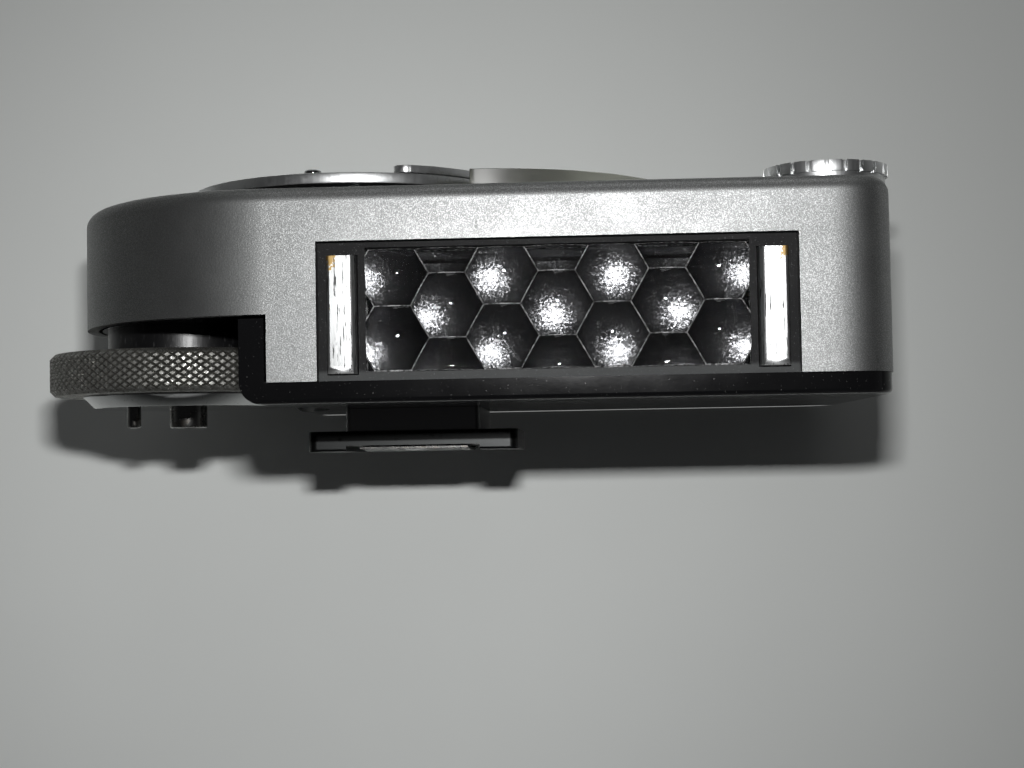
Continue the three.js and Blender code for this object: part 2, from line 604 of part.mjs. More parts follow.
// The leaf spring bows down from its two riveted ends to a flat pad at the level of the sole
function buildShoeSpring() {
  const low = [];
  const high = [];
  for (let i = 0; i <= LEAF_STEPS; i += 1) {
    const y = leaf.length * (i / LEAF_STEPS) - leaf.length / 2;
    const share = THREE.MathUtils.clamp((Math.abs(y) - leaf.pad) / leaf.bend, 0, 1);
    const z = leaf.rise * THREE.MathUtils.smoothstep(share, 0, 1);
    low.push([y, z]);
    high.unshift([y, z + leaf.thick]);
  }
  const sheet = sideProfile([...low, ...high], -leaf.width / 2, leaf.width / 2);
  return cutBy(sheet, rivetPlaces().map(([x, y]) => rodAt(x, y, rivet.shank + FIT, -OVERRUN, OVERRUN)));
}

function buildRivet(y) {
  const top = leaf.rise - FIT / 2;
  const bottom = top - rivet.headThick;
  const end = leaf.rise + leaf.thick + rivet.depth;
  const { head, edgeShare, shank } = rivet;
  return turned([
    [0, bottom],
    [head * edgeShare, bottom],
    [head, top],
    [shank, top],
    [shank, end],
    [0, end],
  ], SMALL_STEPS).translate([0, y, 0]);
}

function buildFootScrew(x, y) {
  const bottom = BASE_BOTTOM - footScrew.depth;
  const top = SHELL_EDGE + footScrew.headThick;
  const { head, shank } = footScrew;
  return turned([
    [0, bottom],
    [shank, bottom],
    [shank, SHELL_EDGE],
    [head, SHELL_EDGE],
    [head, top],
    [0, top],
  ], SMALL_STEPS).translate([x, y, 0]);
}

// The black bezel of the cell window, with an opening for the lens plate and a slot for each contact bar
function buildCellBezel() {
  const outside = block(
    WINDOW_LEFT + bezel.gap, WINDOW_RIGHT - bezel.gap, bezelFrontY, bezelBackY,
    SHELL_EDGE, WINDOW_TOP - bezel.gap,
  );
  const flange = block(
    WINDOW_LEFT - bezel.flange, WINDOW_RIGHT + bezel.flange, FRONT_Y + WALL + FIT, bezelBackY,
    SHELL_EDGE, WINDOW_TOP + bezel.flange,
  );
  const halfLens = lensWidth / 2 + FIT;
  const opening = block(
    windowMiddleX - halfLens, windowMiddleX + halfLens, FRONT_Y - OVERRUN, bezelBackY + OVERRUN,
    lensBottom - FIT, lensBottom + lens.height + FIT,
  );
  const seat = block(
    windowMiddleX - halfLens, windowMiddleX + halfLens,
    lensBackY - lens.flangeThick - FIT, bezelBackY + OVERRUN,
    lensBottom - lens.flange - FIT, lensBottom + lens.height + lens.flange + FIT,
  );
  const slots = barPlaces().map((x, i) => barSolid(x, i === 0, FIT, OVERRUN));
  return cutBy(outside.add(flange), [opening, seat, ...slots]);
}

function barPlaces() {
  const inward = bar.fromWindowEnd + bar.width / 2;
  return [WINDOW_LEFT + inward, WINDOW_RIGHT - inward];
}

// A contact bar, its front edges rounded over, the inner one more; the same form cuts its slot in the bezel
function barSolid(x, isLeft, clearance, longer) {
  const half = bar.width / 2 + clearance;
  const low = lensBottom - bar.belowLens - clearance;
  const high = lensBottom - bar.belowLens + bar.height + clearance;
  const front = FRONT_Y - bar.proud - longer;
  const [left, right] = isLeft ? [bar.round, bar.innerRound] : [bar.innerRound, bar.round];
  const plan = [
    [x - half, FRONT_Y + bar.rear + longer],
    ...arc(x - half + left, front + left, left, 2 * QUARTER, 3 * QUARTER, CORNER_STEPS),
    ...arc(x + half - right, front + right, right, 3 * QUARTER, 4 * QUARTER, CORNER_STEPS),
    [x + half, FRONT_Y + bar.rear + longer],
  ];
  return prism(plan, low, high);
}

// The lens plate: six-sided domes set edge to edge in staggered columns, on one clear moulding
function buildLensPlate() {
  const side = (lens.pitchX * 2) / 3;
  const rise = lens.pitchZ / Math.sqrt(3);
  const columns = Math.ceil(lensWidth / 2 / lens.pitchX - 0.5);
  const rows = Math.ceil(lens.height / 2 / lens.pitchZ);
  const valleyY = FRONT_Y + lens.tipRecess + lens.dome;
  const front = [];
  for (let column = -columns; column <= columns; column += 1) {
    const shift = column % 2 ? 0.5 : 0;
    for (let row = -rows; row + 2 * shift <= rows; row += 1) {
      const cx = windowMiddleX + column * lens.pitchX;
      const cz = lensMiddleZ + (row + shift) * lens.pitchZ;
      front.push(...domeTriangles(cx, cz, side, rise, valleyY, LENS_DIVISIONS));
    }
  }
  const sheet = slabBehind(front, lensBackY);
  const half = lensWidth / 2;
  const trimmed = sheet.intersect(
    block(windowMiddleX - half, windowMiddleX + half, FRONT_Y, BACK_Y, lensBottom, lensBottom + lens.height),
  );
  const flange = block(
    windowMiddleX - half, windowMiddleX + half, lensBackY - lens.flangeThick, lensBackY,
    lensBottom - lens.flange, lensBottom + lens.height + lens.flange,
  );
  return trimmed.add(flange);
}

// One dome: each of its six wedges is divided into small triangles on a paraboloid
function domeTriangles(cx, cz, side, rise, valleyY, divisions) {
  const corner = (k) => [Math.cos((Math.PI / 3) * k), Math.sin((Math.PI / 3) * k)];
  const at = ([u, v]) => [cx + u * side, valleyY - lens.dome * (1 - u * u - v * v), cz + v * rise];
  const triangles = [];
  for (let k = 0; k < 6; k += 1) {
    const [a, b] = [corner(k), corner(k + 1)];
    const grid = (i, j) => at([(a[0] * i + b[0] * j) / divisions, (a[1] * i + b[1] * j) / divisions]);
    for (let i = 0; i < divisions; i += 1) {
      for (let j = 0; i + j < divisions; j += 1) {
        triangles.push([grid(i, j), grid(i + 1, j), grid(i, j + 1)]);
        if (i + j + 1 < divisions) triangles.push([grid(i + 1, j), grid(i + 1, j + 1), grid(i, j + 1)]);
      }
    }
  }
  return triangles;
}

// Closes a field of triangles that face -Y with a flat back and walls along its free edges
function slabBehind(front, backY) {
  const key = ([x, , z]) => `${x.toFixed(3)},${z.toFixed(3)}`;
  const drop = ([x, , z]) => [x, backY, z];
  const edges = new Map();
  front.forEach((corners) => corners.forEach((p, i) => {
    const q = corners[(i + 1) % corners.length];
    edges.set(`${key(p)} ${key(q)}`, [p, q]);
  }));
  const all = [...front, ...front.map(([a, b, c]) => [drop(c), drop(b), drop(a)])];
  edges.forEach(([p, q]) => {
    if (edges.has(`${key(q)} ${key(p)}`)) return;
    all.push([p, drop(p), drop(q)], [p, drop(q), q]);
  });
  const geometry = new THREE.BufferGeometry();
  geometry.setAttribute("position", new THREE.Float32BufferAttribute(all.flat(2), 3));
  return toSolid(geometry);
}

// The selenium cell: a steel backing plate with a raised collecting ring round its front
const cellHalf = lensWidth / 2 - cell.margin;
const cellLow = lensBottom + cell.margin / 2;
const cellHigh = lensBottom + lens.height - cell.margin / 2;

function buildSeleniumCell() {
  const backing = block(
    windowMiddleX - cellHalf, windowMiddleX + cellHalf, cellFrontY, cellFrontY + cell.thick,
    cellLow, cellHigh,
  );
  const ring = block(
    windowMiddleX - cellHalf, windowMiddleX + cellHalf,
    cellFrontY - cell.ringProud, cellFrontY + cell.thick / 2, cellLow, cellHigh,
  ).subtract(
    block(
      windowMiddleX - cellHalf + cell.ringWidth, windowMiddleX + cellHalf - cell.ringWidth,
      cellFrontY - OVERRUN, cellFrontY + cell.thick, cellLow + cell.ringWidth, cellHigh - cell.ringWidth,
    ),
  );
  return backing.add(ring);
}

// The tray that holds the cell from behind and stands on the floor of the base
function buildCellHolder() {
  const half = cellHalf + FIT + holder.wall;
  const body = block(
    windowMiddleX - half, windowMiddleX + half, lensBackY + FIT, holderBackY,
    SHELL_EDGE, cellHigh + FIT + holder.wall,
  );
  const pocket = block(
    windowMiddleX - cellHalf - FIT, windowMiddleX + cellHalf + FIT, cellFrontY - OVERRUN,
    cellFrontY + cell.thick + FIT, cellLow - FIT, cellHigh + FIT,
  );
  const stripWay = block(
    WINDOW_LEFT, WINDOW_RIGHT, FRONT_Y, cellFrontY,
    lensMiddleZ - strip.width / 2 - SEAT, lensMiddleZ + strip.width / 2 + SEAT,
  );
  const window = block(
    windowMiddleX - cellHalf + holder.opening, windowMiddleX + cellHalf - holder.opening, cellFrontY,
    holderBackY + OVERRUN, cellLow + holder.opening / 2, cellHigh - holder.opening / 2,
  );
  return cutBy(body, [pocket, window, stripWay]);
}

// A spring strip from the rear end of a contact bar to the end of the cell
function buildCellStrip(side) {
  const [leftBar, rightBar] = barPlaces();
  const rearY = FRONT_Y + bar.rear + strip.gap;
  const cellEnd = windowMiddleX + side * (cellHalf - strip.overlap);
  const barEnd = (side < 0 ? leftBar : rightBar) + (side * bar.width) / 2;
  const [x0, x1] = side < 0 ? [barEnd, cellEnd] : [cellEnd, barEnd];
  const half = strip.width / 2;
  return block(x0, x1, rearY, rearY + strip.thick, lensMiddleZ - half, lensMiddleZ + half);
}

// The knurled wheel: a diamond knurl round its rim, hollowed above for the collar and the lift spring
function buildCouplingWheel() {
  const points = knurl.count * 2;
  const ringOf = (radius, z, row) =>
    Array.from({ length: points }, (_, i) => {
      const raised = row < 0 || (i + row) % 2 === 0;
      const r = raised ? radius : radius - knurl.depth;
      const angle = (Math.PI / knurl.count) * i;
      return [r * Math.cos(angle), r * Math.sin(angle), z];
    });
  const low = WHEEL_BOTTOM + knurl.chamfer;
  const high = WHEEL_TOP - knurl.chamfer;
  const rings = [ringOf(WHEEL_RADIUS - knurl.chamfer, WHEEL_BOTTOM, -1)];
  for (let row = 0; row < knurl.rows; row += 1) {
    rings.push(ringOf(WHEEL_RADIUS, low + ((high - low) * row) / (knurl.rows - 1), row));
  }
  rings.push(ringOf(WHEEL_RADIUS - knurl.chamfer, WHEEL_TOP, -1));
  return cutBy(loft(rings, true), [
    rod(collar.radius + counterbore.clearance, wheelWebTop, WHEEL_TOP + OVERRUN),
    rod(shaft.radius + FIT, WHEEL_BOTTOM - OVERRUN, WHEEL_TOP),
  ]);
}

// The polished disc under the wheel, bevelled at its rim, that meets the shutter dial
function buildCouplingDisc() {
  const bore = shaft.radius + FIT;
  const body = turned([
    [bore, discBottom],
    [disc.bottomRadius, discBottom],
    [disc.topRadius, WHEEL_BOTTOM - disc.rim],
    [disc.topRadius, WHEEL_BOTTOM],
    [bore, WHEEL_BOTTOM],
  ], FINE_STEPS);
  const pinTop = discBottom + pin.sunk + FIT;
  return body.subtract(rodAt(-pin.offset, 0, pin.radius + FIT, discBottom - OVERRUN, pinTop));
}

function buildCouplingPin() {
  const bottom = discBottom - pin.length;
  const top = discBottom + pin.sunk;
  return turned([
    [0, bottom],
    [pin.radius - pin.tip, bottom],
    [pin.radius, bottom + pin.tip],
    [pin.radius, top],
    [0, top],
  ], SMALL_STEPS).translate([-pin.offset, 0, 0]);
}

// The hub nut in the middle of the disc, hollow from below
function buildCouplingHub() {
  const bottom = discBottom - hub.length;
  const hollow = bottom + hub.boreDepth;
  const inner = shaft.spigot + FIT;
  const floor = discBottom - shaft.spigotLength - FIT;
  return turned([
    [0, hollow],
    [hub.bore, hollow],
    [hub.bore, bottom],
    [hub.radius - hub.chamfer, bottom],
    [hub.radius, bottom + hub.chamfer],
    [hub.radius, discBottom],
    [inner, discBottom],
    [inner, floor],
    [0, floor],
  ]);
}

function buildWheelShaft() {
  const bottom = discBottom - shaft.spigotLength;
  return turned([
    [0, bottom],
    [shaft.spigot, bottom],
    [shaft.spigot, discBottom + FIT],
    [shaft.radius, discBottom + FIT],
    [shaft.radius, shaft.top],
    [0, shaft.top],
  ]);
}

function buildWheelBush() {
  const inner = shaft.radius + RUN;
  const outer = inner + bush.wall;
  return turned([
    [inner, NOSE_EDGE - bush.below],
    [outer, NOSE_EDGE - bush.below],
    [outer, noseFloorTop],
    [inner + bush.flange, noseFloorTop],
    [inner + bush.flange, bushTop],
    [inner, bushTop],
  ]);
}

// The spring that presses the wheel down, one unbroken tube whose turns climb at a steady rate
function buildLiftSpring() {
  const bottom = wheelWebTop + FIT + liftSpring.wire / 2;
  const top = NOSE_EDGE - FIT - liftSpring.wire / 2;
  const { radius, wire } = liftSpring;
  const count = liftSpring.turns * COIL_STEPS;
  const centre = (i) => {
    const angle = (2 * Math.PI * i) / COIL_STEPS;
    return [radius * Math.cos(angle), radius * Math.sin(angle), bottom + ((top - bottom) * i) / count];
  };
  const turns = Array.from({ length: count + 1 }, (_, i) => centre(i));
  console.log("lift spring, least gap between turns:", leastGap(turns, wire).toFixed(2), "mm");
  return loft(turns.map((point) => wireRing(point, wire / 2, WIRE_SIDES)));
}

// A ring of points round a wire at a point of its path about Z
function wireRing([x, y, z], radius, sides) {
  const out = Math.hypot(x, y);
  return Array.from({ length: sides }, (_, k) => {
    const angle = (2 * Math.PI * (k + 0.5)) / sides;
    const [up, away] = [radius * Math.cos(angle), radius * Math.sin(angle)];
    return [x + (away * x) / out, y + (away * y) / out, z + up];
  });
}

function leastGap(points, wire) {
  let least = Infinity;
  points.forEach((p, i) => {
    points.slice(i + COIL_STEPS / 2).forEach((q) => {
      least = Math.min(least, Math.hypot(p[0] - q[0], p[1] - q[1], p[2] - q[2]) - wire);
    });
  });
  return least;
}

// A gear's outline, with a tooth centred on the given direction; its flanks meet the involute at root and tip
function gearOutline(teeth, toothAt) {
  const pitch = (GEAR_MODULE * teeth) / 2;
  const baseRadius = pitch * Math.cos(gear.pressure);
  const tip = pitch + GEAR_MODULE;
  const root = pitch - GEAR_MODULE * gear.dedendumShare;
  const involute = (a) => Math.tan(a) - a;
  const halfAt = (radius) => {
    const a = Math.acos(Math.min(1, baseRadius / radius));
    const atPitch = ((Math.PI * GEAR_MODULE) / 2 - gear.backlash) / (2 * pitch);
    return atPitch + involute(gear.pressure) - involute(a);
  };
  const points = [];
  for (let k = 0; k < teeth; k += 1) {
    const middle = toothAt + (2 * Math.PI * k) / teeth;
    const [low, high] = [halfAt(Math.max(root, baseRadius)), halfAt(tip)];
    const polar = (radius, angle) => points.push([radius * Math.cos(angle), radius * Math.sin(angle)]);
    polar(root, middle - low);
    polar(tip, middle - high);
    polar(tip, middle + high);
    polar(root, middle + low);
  }
  return points;
}

function buildGear(teeth, toothAt, bottom, width, bore, hubTop) {
  const teethPart = prism(gearOutline(teeth, toothAt), bottom, bottom + width);
  const hubPart = rod(bore + gear.hubWall, bottom, hubTop);
  return teethPart.add(hubPart).subtract(rod(bore, bottom - OVERRUN, hubTop + OVERRUN));
}

// The inner disc of the dial, which the gears turn, with a flange that carries the outer ring
function buildSpeedDisc() {
  const flange = DIAL_RADIUS - dial.rimWidth - dial.play;
  const ring = ringInner - dial.play;
  const top = dialTop + dial.raised;
  return turned([
    [dialShaft.hole + FIT, dialBottom],
    [flange, dialBottom],
    [flange, dialBottom + dial.flangeThick],
    [ring, dialBottom + dial.flangeThick],
    [ring, top - dial.chamfer],
    [ring - dial.chamfer, top],
    [dialShaft.hole + FIT, top],
  ], FINE_STEPS);
}

// The outer ring of the dial, set by its finger stud for the film in use
function buildDialRing() {
  const rim = DIAL_RADIUS - dial.rimWidth;
  const body = turned([
    [rim, dialBottom],
    [DIAL_RADIUS - dial.chamfer, dialBottom],
    [DIAL_RADIUS, dialBottom + dial.chamfer],
    [DIAL_RADIUS, dialTop - dial.chamfer],
    [DIAL_RADIUS - dial.chamfer, dialTop],
    [ringInner, dialTop],
    [ringInner, dialTop - dial.web],
    [rim, dialTop - dial.web],
  ], FINE_STEPS);
  const [x, y] = studPlace();
  return body.subtract(rodAt(x, y, stud.neck + FIT, dialBottom + dial.chamfer, dialTop + OVERRUN));
}

function studPlace() {
  const orbit = DIAL_RADIUS - stud.fromRim;
  return [orbit * Math.cos(stud.angle), orbit * Math.sin(stud.angle)];
}

function buildDialStud() {
  const [x, y] = studPlace();
  const top = dialTop + stud.height;
  const bottom = dialTop - dial.web + FIT;
  return turned([
    [0, bottom],
    [stud.neck, bottom],
    [stud.neck, dialTop + FIT],
    [stud.radius, dialTop + FIT],
    [stud.radius, dialTop + stud.height / 2],
    [stud.radius * stud.crownShare, top],
    [0, top],
  ], SMALL_STEPS).translate([x, y, 0]);
}

function buildDialShaft() {
  const shoulder = rod(dialShaft.shoulder, BODY_TOP + FIT, dialBottom);
  const holeFloor = dialBottom + dial.flangeThick - dialScrew.length - FIT;
  return cutBy(rod(dialShaft.radius, dialShaft.bottom, dialBottom).add(shoulder), [
    rod(dialShaft.hole, holeFloor, dialBottom + OVERRUN, SMALL_STEPS),
  ]);
}

function buildDialBush() {
  const inner = dialShaft.radius + RUN;
  const outer = dialShaft.radius + dialShaft.bushWall;
  const flange = outer + dialShaft.flange;
  return turned([
    [inner, CEILING - dialShaft.flangeThick],
    [flange, CEILING - dialShaft.flangeThick],
    [flange, CEILING],
    [outer, CEILING],
    [outer, BODY_TOP],
    [inner, BODY_TOP],
  ]);
}

function buildDialScrew() {
  const seat = dialTop + dial.raised;
  const top = seat + dialScrew.headThick;
  return turned([
    [0, dialBottom + dial.flangeThick - dialScrew.length],
    [dialScrew.shank, dialBottom + dial.flangeThick - dialScrew.length],
    [dialScrew.shank, seat],
    [dialScrew.head, seat],
    [dialScrew.head, top - dialScrew.edge],
    [dialScrew.head - dialScrew.edge, top],
    [0, top],
  ], PIN_STEPS);
}

// The index plate: a curved tongue over the ring of the dial, its arm pinned to the needle window
function buildIndexPlate() {
  const top = coverTop + indexPlate.thick;
  const { start, end, armStart, armReach } = indexPlate;
  const outer = DIAL_RADIUS - indexPlate.fromRim;
  const inner = outer - indexPlate.width;
  const middle = (outer + inner) / 2;
  const [tipX, tipY] = [middle * Math.cos(start), middle * Math.sin(start)];
  const tip = arc(tipX, tipY, indexPlate.width / 2, start + 2 * QUARTER, start + 4 * QUARTER, PIN_STEPS);
  const pointer = [
    ...arc(0, 0, outer, start, end, BAND_STEPS),
    ...arc(0, 0, inner, end, start, BAND_STEPS),
    ...tip.slice(1, -1),
  ];
  const arm = [...arc(0, 0, DIAL_RADIUS + armReach, armStart, end), ...arc(0, 0, middle, end, armStart)];
  return joined([
    prism(pointer, coverTop, top),
    prism(arm, coverTop, top),
    ...indexPinOrbit().map(([x, y]) => rodAt(x, y, indexPin.radius, CEILING, top)),
  ]);
}

function indexPinOrbit() {
  const orbit = DIAL_RADIUS + indexPin.outsideRim;
  return [indexPin.first, indexPin.second].map((a) => [orbit * Math.cos(a), orbit * Math.sin(a)]);
}

function indexPinPlaces() {
  return indexPinOrbit().map(([x, y]) => [DIAL_X + x, DIAL_Y + y]);
}

// The needle window in plan: a sector of a circle, hollowed on the left round the dial
function coverOutline(inset) {
  const { end, dialGap, backAngle } = windowCover;
  const hollow = DIAL_RADIUS + dialGap + inset;
  const lowAngle = -Math.acos((coverX + inset - DIAL_X) / hollow);
  const round = coverRadius - inset;
  const start = -Math.acos(inset / round);
  return [
    ...arc(coverX, coverY, round, start, end, COVER_STEPS),
    ...arc(DIAL_X, DIAL_Y, hollow, backAngle, lowAngle, BAND_STEPS),
  ];
}

// The opening in the roof below it, through which the needle is seen
function openingOutline() {
  const radius = coverRadius - windowCover.margin;
  return sectorOutline(radius, windowCover.openingFromFoot, openingBackY, BAND_STEPS);
}

// A part of the cover's circle to the right of one line and in front of another
function sectorOutline(radius, left, back, steps) {
  const start = -Math.acos((left - coverX) / radius);
  const end = Math.asin((back - coverY) / radius);
  return [...arc(coverX, coverY, radius, start, end, steps), [left, back]];
}

function buildNeedleWindow() {
  const slab = roundedTop(coverOutline, BODY_TOP, coverTop, windowCover.edge, COVER_EDGE_STEPS);
  const pinHole = (x, y) => rodAt(x, y, indexPin.radius + FIT, BODY_TOP - OVERRUN, coverTop + OVERRUN);
  return cutBy(slab, indexPinPlaces().map(([x, y]) => pinHole(x, y)));
}

// The range knob: a low disc with coarse square teeth, on a narrower collar
function buildRangeKnob() {
  const bottom = BODY_TOP + knob.above + knob.collarThick;
  const top = bottom + knob.thick;
  const pitch = (2 * Math.PI) / knob.teeth;
  const outline = (inset) => {
    const points = [];
    for (let k = 0; k < knob.teeth; k += 1) {
      const half = (pitch * knob.toothShare) / 2;
      const tipHalf = half * knob.tipShare;
      const middle = pitch * k + knob.turn;
      const polar = (radius, angle) => points.push([radius * Math.cos(angle), radius * Math.sin(angle)]);
      polar(knob.radius - knob.notch - inset, middle - half);
      polar(knob.radius - inset, middle - tipHalf);
      polar(knob.radius - inset, middle + tipHalf);
      polar(knob.radius - knob.notch - inset, middle + half);
    }
    return points;
  };
  const teeth = loft([
    level(outline(knob.edge), bottom),
    level(outline(0), bottom + knob.edge),
    level(outline(0), top - knob.edge),
    level(outline(knob.edge), top),
  ]);
  const collarDisc = rod(knob.collar, BODY_TOP + knob.above, bottom + knob.edge);
  const bore = rod(knobShaft.radius + FIT, BODY_TOP - OVERRUN, bottom + knobShaft.inKnob + FIT, SMALL_STEPS);
  return teeth.add(collarDisc).subtract(bore);
}

function buildKnobShaft() {
  const top = BODY_TOP + knob.above + knob.collarThick + knobShaft.inKnob;
  return rod(knobShaft.radius, board.bottom - knobShaft.below, top, SMALL_STEPS);
}

// The wiper arm of the range switch, on the lower end of the knob's shaft
const boardTop = board.bottom + board.thick;
const wiperBottom = boardTop + contact.height + SEAT;

function buildRangeWiper() {
  const hubPart = tube(knobShaft.radius + FIT, wiper.hub, wiperBottom, CEILING - SEAT, SMALL_STEPS);
  const arm = block(
    (wiper.hub + knobShaft.radius) / 2, wiper.reach, -wiper.halfWidth, wiper.halfWidth,
    wiperBottom, wiperBottom + wiper.thick,
  );
  return hubPart.add(arm.rotate([0, 0, THREE.MathUtils.radToDeg(wiper.rest)]));
}

function buildSwitchBoard() {
  const sheet = block(-board.left, board.right, -board.front, board.back, board.bottom, boardTop);
  const hole = (x, y, radius) => rodAt(x, y, radius, board.bottom - OVERRUN, boardTop + OVERRUN);
  return cutBy(sheet, [
    hole(0, 0, knobShaft.radius + RUN),
    ...contactPlaces().map(([x, y]) => hole(x, y, contact.shank + FIT)),
  ]);
}

function contactPlaces() {
  const { orbit } = contact;
  return [wiper.rest, wiper.rest + QUARTER].map((a) => [orbit * Math.cos(a), orbit * Math.sin(a)]);
}

function buildSwitchContact([x, y]) {
  const top = boardTop + contact.height;
  const { radius, shank } = contact;
  return turned([
    [0, board.bottom],
    [shank, board.bottom],
    [shank, boardTop],
    [radius, boardTop],
    [radius * contact.edgeShare, top],
    [0, top],
  ], PIN_STEPS).translate([x, y, 0]);
}

// The resistor below the board, its bent leads ending at the board
function buildResistor() {
  const half = resistor.length / 2;
  const z = board.bottom - resistor.radius - SEAT;
  const along = (radius, x0, x1) => rod(radius, x0, x1, SMALL_STEPS).rotate([0, 90, 0]).translate([0, 0, z]);
  const reach = half + resistor.stub;
  const { lead } = resistor;
  const bend = (x) => block(x - lead, x + lead, -lead, lead, z - lead, board.bottom);
  return joined([along(resistor.radius, -half, half), along(lead, -reach, reach), bend(-reach), bend(reach)])
    .translate([(board.right - board.left) / 2, resistor.offsetY, 0]);
}

// The movement's plate, with two pillars for the bridge and two posts for the scale
function buildMovementPlate() {
  const bottom = base.standoffTop;
  const pillar = ([x, y]) => rodAt(x, y, plate.pillar, bottom + plate.thick / 2, bridgeBottom);
  const post = ({ x, y }) => rodAt(x, y, plate.scalePost, bottom + plate.thick / 2, scaleTop - scale.thick);
  const studX = bridge.studOrbit * Math.cos(pillarAngle);
  const studY = bridge.studOrbit * Math.sin(pillarAngle);
  const studTop = lowerSpringBottom + hairspring.height;
  const springStud = rodAt(studX, studY, bridge.stud, bottom + plate.thick / 2, studTop);
  const holes = [plateScrew.backY, plateScrew.frontY].map((y) =>
    rodAt(plateScrew.x, y, plateScrew.shank + FIT, bottom - OVERRUN, plateTop + OVERRUN),
  );
  const sheet = block(-plate.left, plate.right, -plate.half, plate.half, bottom, plateTop);
  const uprights = [springStud, ...pillarPlaces().map(pillar), post(scalePostA), post(scalePostB)];
  return cutBy(joined([sheet, ...uprights]), [
    rod(jewel.radius + FIT, bottom - OVERRUN, plateTop + OVERRUN),
    ...holes,
  ]);
}

function pillarPlaces() {
  const orbit = plate.pillarOrbit;
  return [pillarAngle, pillarAngle + 2 * QUARTER].map((a) => [orbit * Math.cos(a), orbit * Math.sin(a)]);
}

function buildPlateScrew(y) {
  const bottom = base.standoffTop - plateScrew.depth;
  const top = plateTop + plateScrew.headThick;
  const { head, shank } = plateScrew;
  return turned([
    [0, bottom],
    [shank, bottom],
    [shank, plateTop],
    [head, plateTop],
    [head, top],
    [0, top],
  ], SMALL_STEPS).translate([plateScrew.x, y, 0]);
}

// The iron core inside the coil, held to the magnet by two arms that the coil does not reach
function buildIronCore() {
  const bottom = coilBottom + coil.bar + core.gap;
  const top = coilTop - coil.bar - core.gap;
  const middle = (bottom + top) / 2;
  const reach = magnet.inner - core.armGap;
  const arms = block(
    -reach, reach, -core.armHalf, core.armHalf, middle - core.armHeight / 2, middle + core.armHeight / 2,
  );
  return rod(core.radius, bottom, top).add(arms.rotate([0, 0, THREE.MathUtils.radToDeg(pillarAngle)]));
}

// The moving coil on its former, a flat loop round the core with a pivot below
function buildCoil() {
  const { outer, side, halfWidth, bar: barThick } = coil;
  const within = outer - side;
  const hollow = block(
    -within, within, -halfWidth - OVERRUN, halfWidth + OVERRUN, coilBottom + barThick, coilTop - barThick,
  );
  const loop = block(-outer, outer, -halfWidth, halfWidth, coilBottom, coilTop).subtract(hollow);
  const pivot = rod(coil.pivot, coilBottom - coil.pivotLength, coilBottom + barThick / 2, PIN_STEPS);
  return loop.add(pivot).rotate([0, 0, THREE.MathUtils.radToDeg(needleRest)]);
}

// A flat spiral hairspring, one unbroken strip
function buildHairspring(bottom) {
  const count = hairspring.turns * COIL_STEPS;
  const centre = (i) => {
    const angle = pillarAngle + (2 * Math.PI * (i - count)) / COIL_STEPS;
    const radius = hairspring.inner + ((hairspring.outer - hairspring.inner) * i) / count;
    return [radius * Math.cos(angle), radius * Math.sin(angle), bottom + hairspring.height / 2];
  };
  const section = ([x, y, z]) => {
    const out = Math.hypot(x, y);
    const [up, away] = [hairspring.height / 2, hairspring.thick / 2];
    const corner = (u, a) => [x + (a * x) / out, y + (a * y) / out, z + u];
    return [corner(-up, -away), corner(up, -away), corner(up, away), corner(-up, away)];
  };
  const turns = Array.from({ length: count + 1 }, (_, i) => centre(i));
  console.log("hairspring, least gap between turns:", leastGap(turns, hairspring.thick).toFixed(2), "mm");
  return loft(turns.map(section));
}

// The needle: a tapered blade and a tail on a small hub
function buildNeedle() {
  const bottom = coilTop + needle.aboveCoil;
  const outline = [
    [needle.length, -needle.tipHalf],
    [needle.length, needle.tipHalf],
    [0, needle.root],
    [-needle.tail, needle.tailHalf],
    [-needle.tail, -needle.tailHalf],
    [0, -needle.root],
  ];
  const blade = prism(outline, bottom, bottom + needle.thick).rotate([0, 0, needle.restDegrees]);
  return blade.add(rod(needle.hub, bottom, bottom + needle.hubThick, SMALL_STEPS)).subtract(
    rod(staff.radius + FIT, bottom - OVERRUN, bottom + OVERRUN, PIN_STEPS),
  );
}

// The top bridge between the pillars, with a jewel screw and the stud of the hairspring
function buildTopBridge() {
  const reach = plate.pillarOrbit;
  const { halfWidth } = bridge;
  const outline = [
    ...arc(reach, 0, halfWidth, -QUARTER, QUARTER),
    ...arc(-reach, 0, halfWidth, QUARTER, 3 * QUARTER),
  ];
  const barSolidPiece = prism(outline, bridgeBottom, bridgeBottom + bridge.thick);
  const studBottom = coilTop + hairspring.aboveCoil;
  const studTop = bridgeBottom + bridge.thick / 2;
  const springStud = rodAt(bridge.studOrbit, 0, bridge.stud, studBottom, studTop, PIN_STEPS);
  return barSolidPiece
    .add(springStud)
    .subtract(rod(jewel.radius + FIT, bridgeBottom - OVERRUN, bridgeBottom + bridge.thick + OVERRUN))
    .rotate([0, 0, THREE.MathUtils.radToDeg(pillarAngle)]);
}

// The scale plate below the needle, cut out round the coil
function buildScalePlate() {
  const radius = coverRadius - windowCover.margin + scale.margin;
  const left = windowCover.openingFromFoot - scale.margin;
  const outline = sectorOutline(radius, left, openingBackY + scale.margin, SCALE_STEPS);
  return prism(outline, scaleTop - scale.thick, scaleTop).subtract(
    rodAt(MOVEMENT_X, MOVEMENT_Y, scale.coilRadius, scaleTop - OVERRUN, scaleTop + OVERRUN, TURN_STEPS),
  );
}

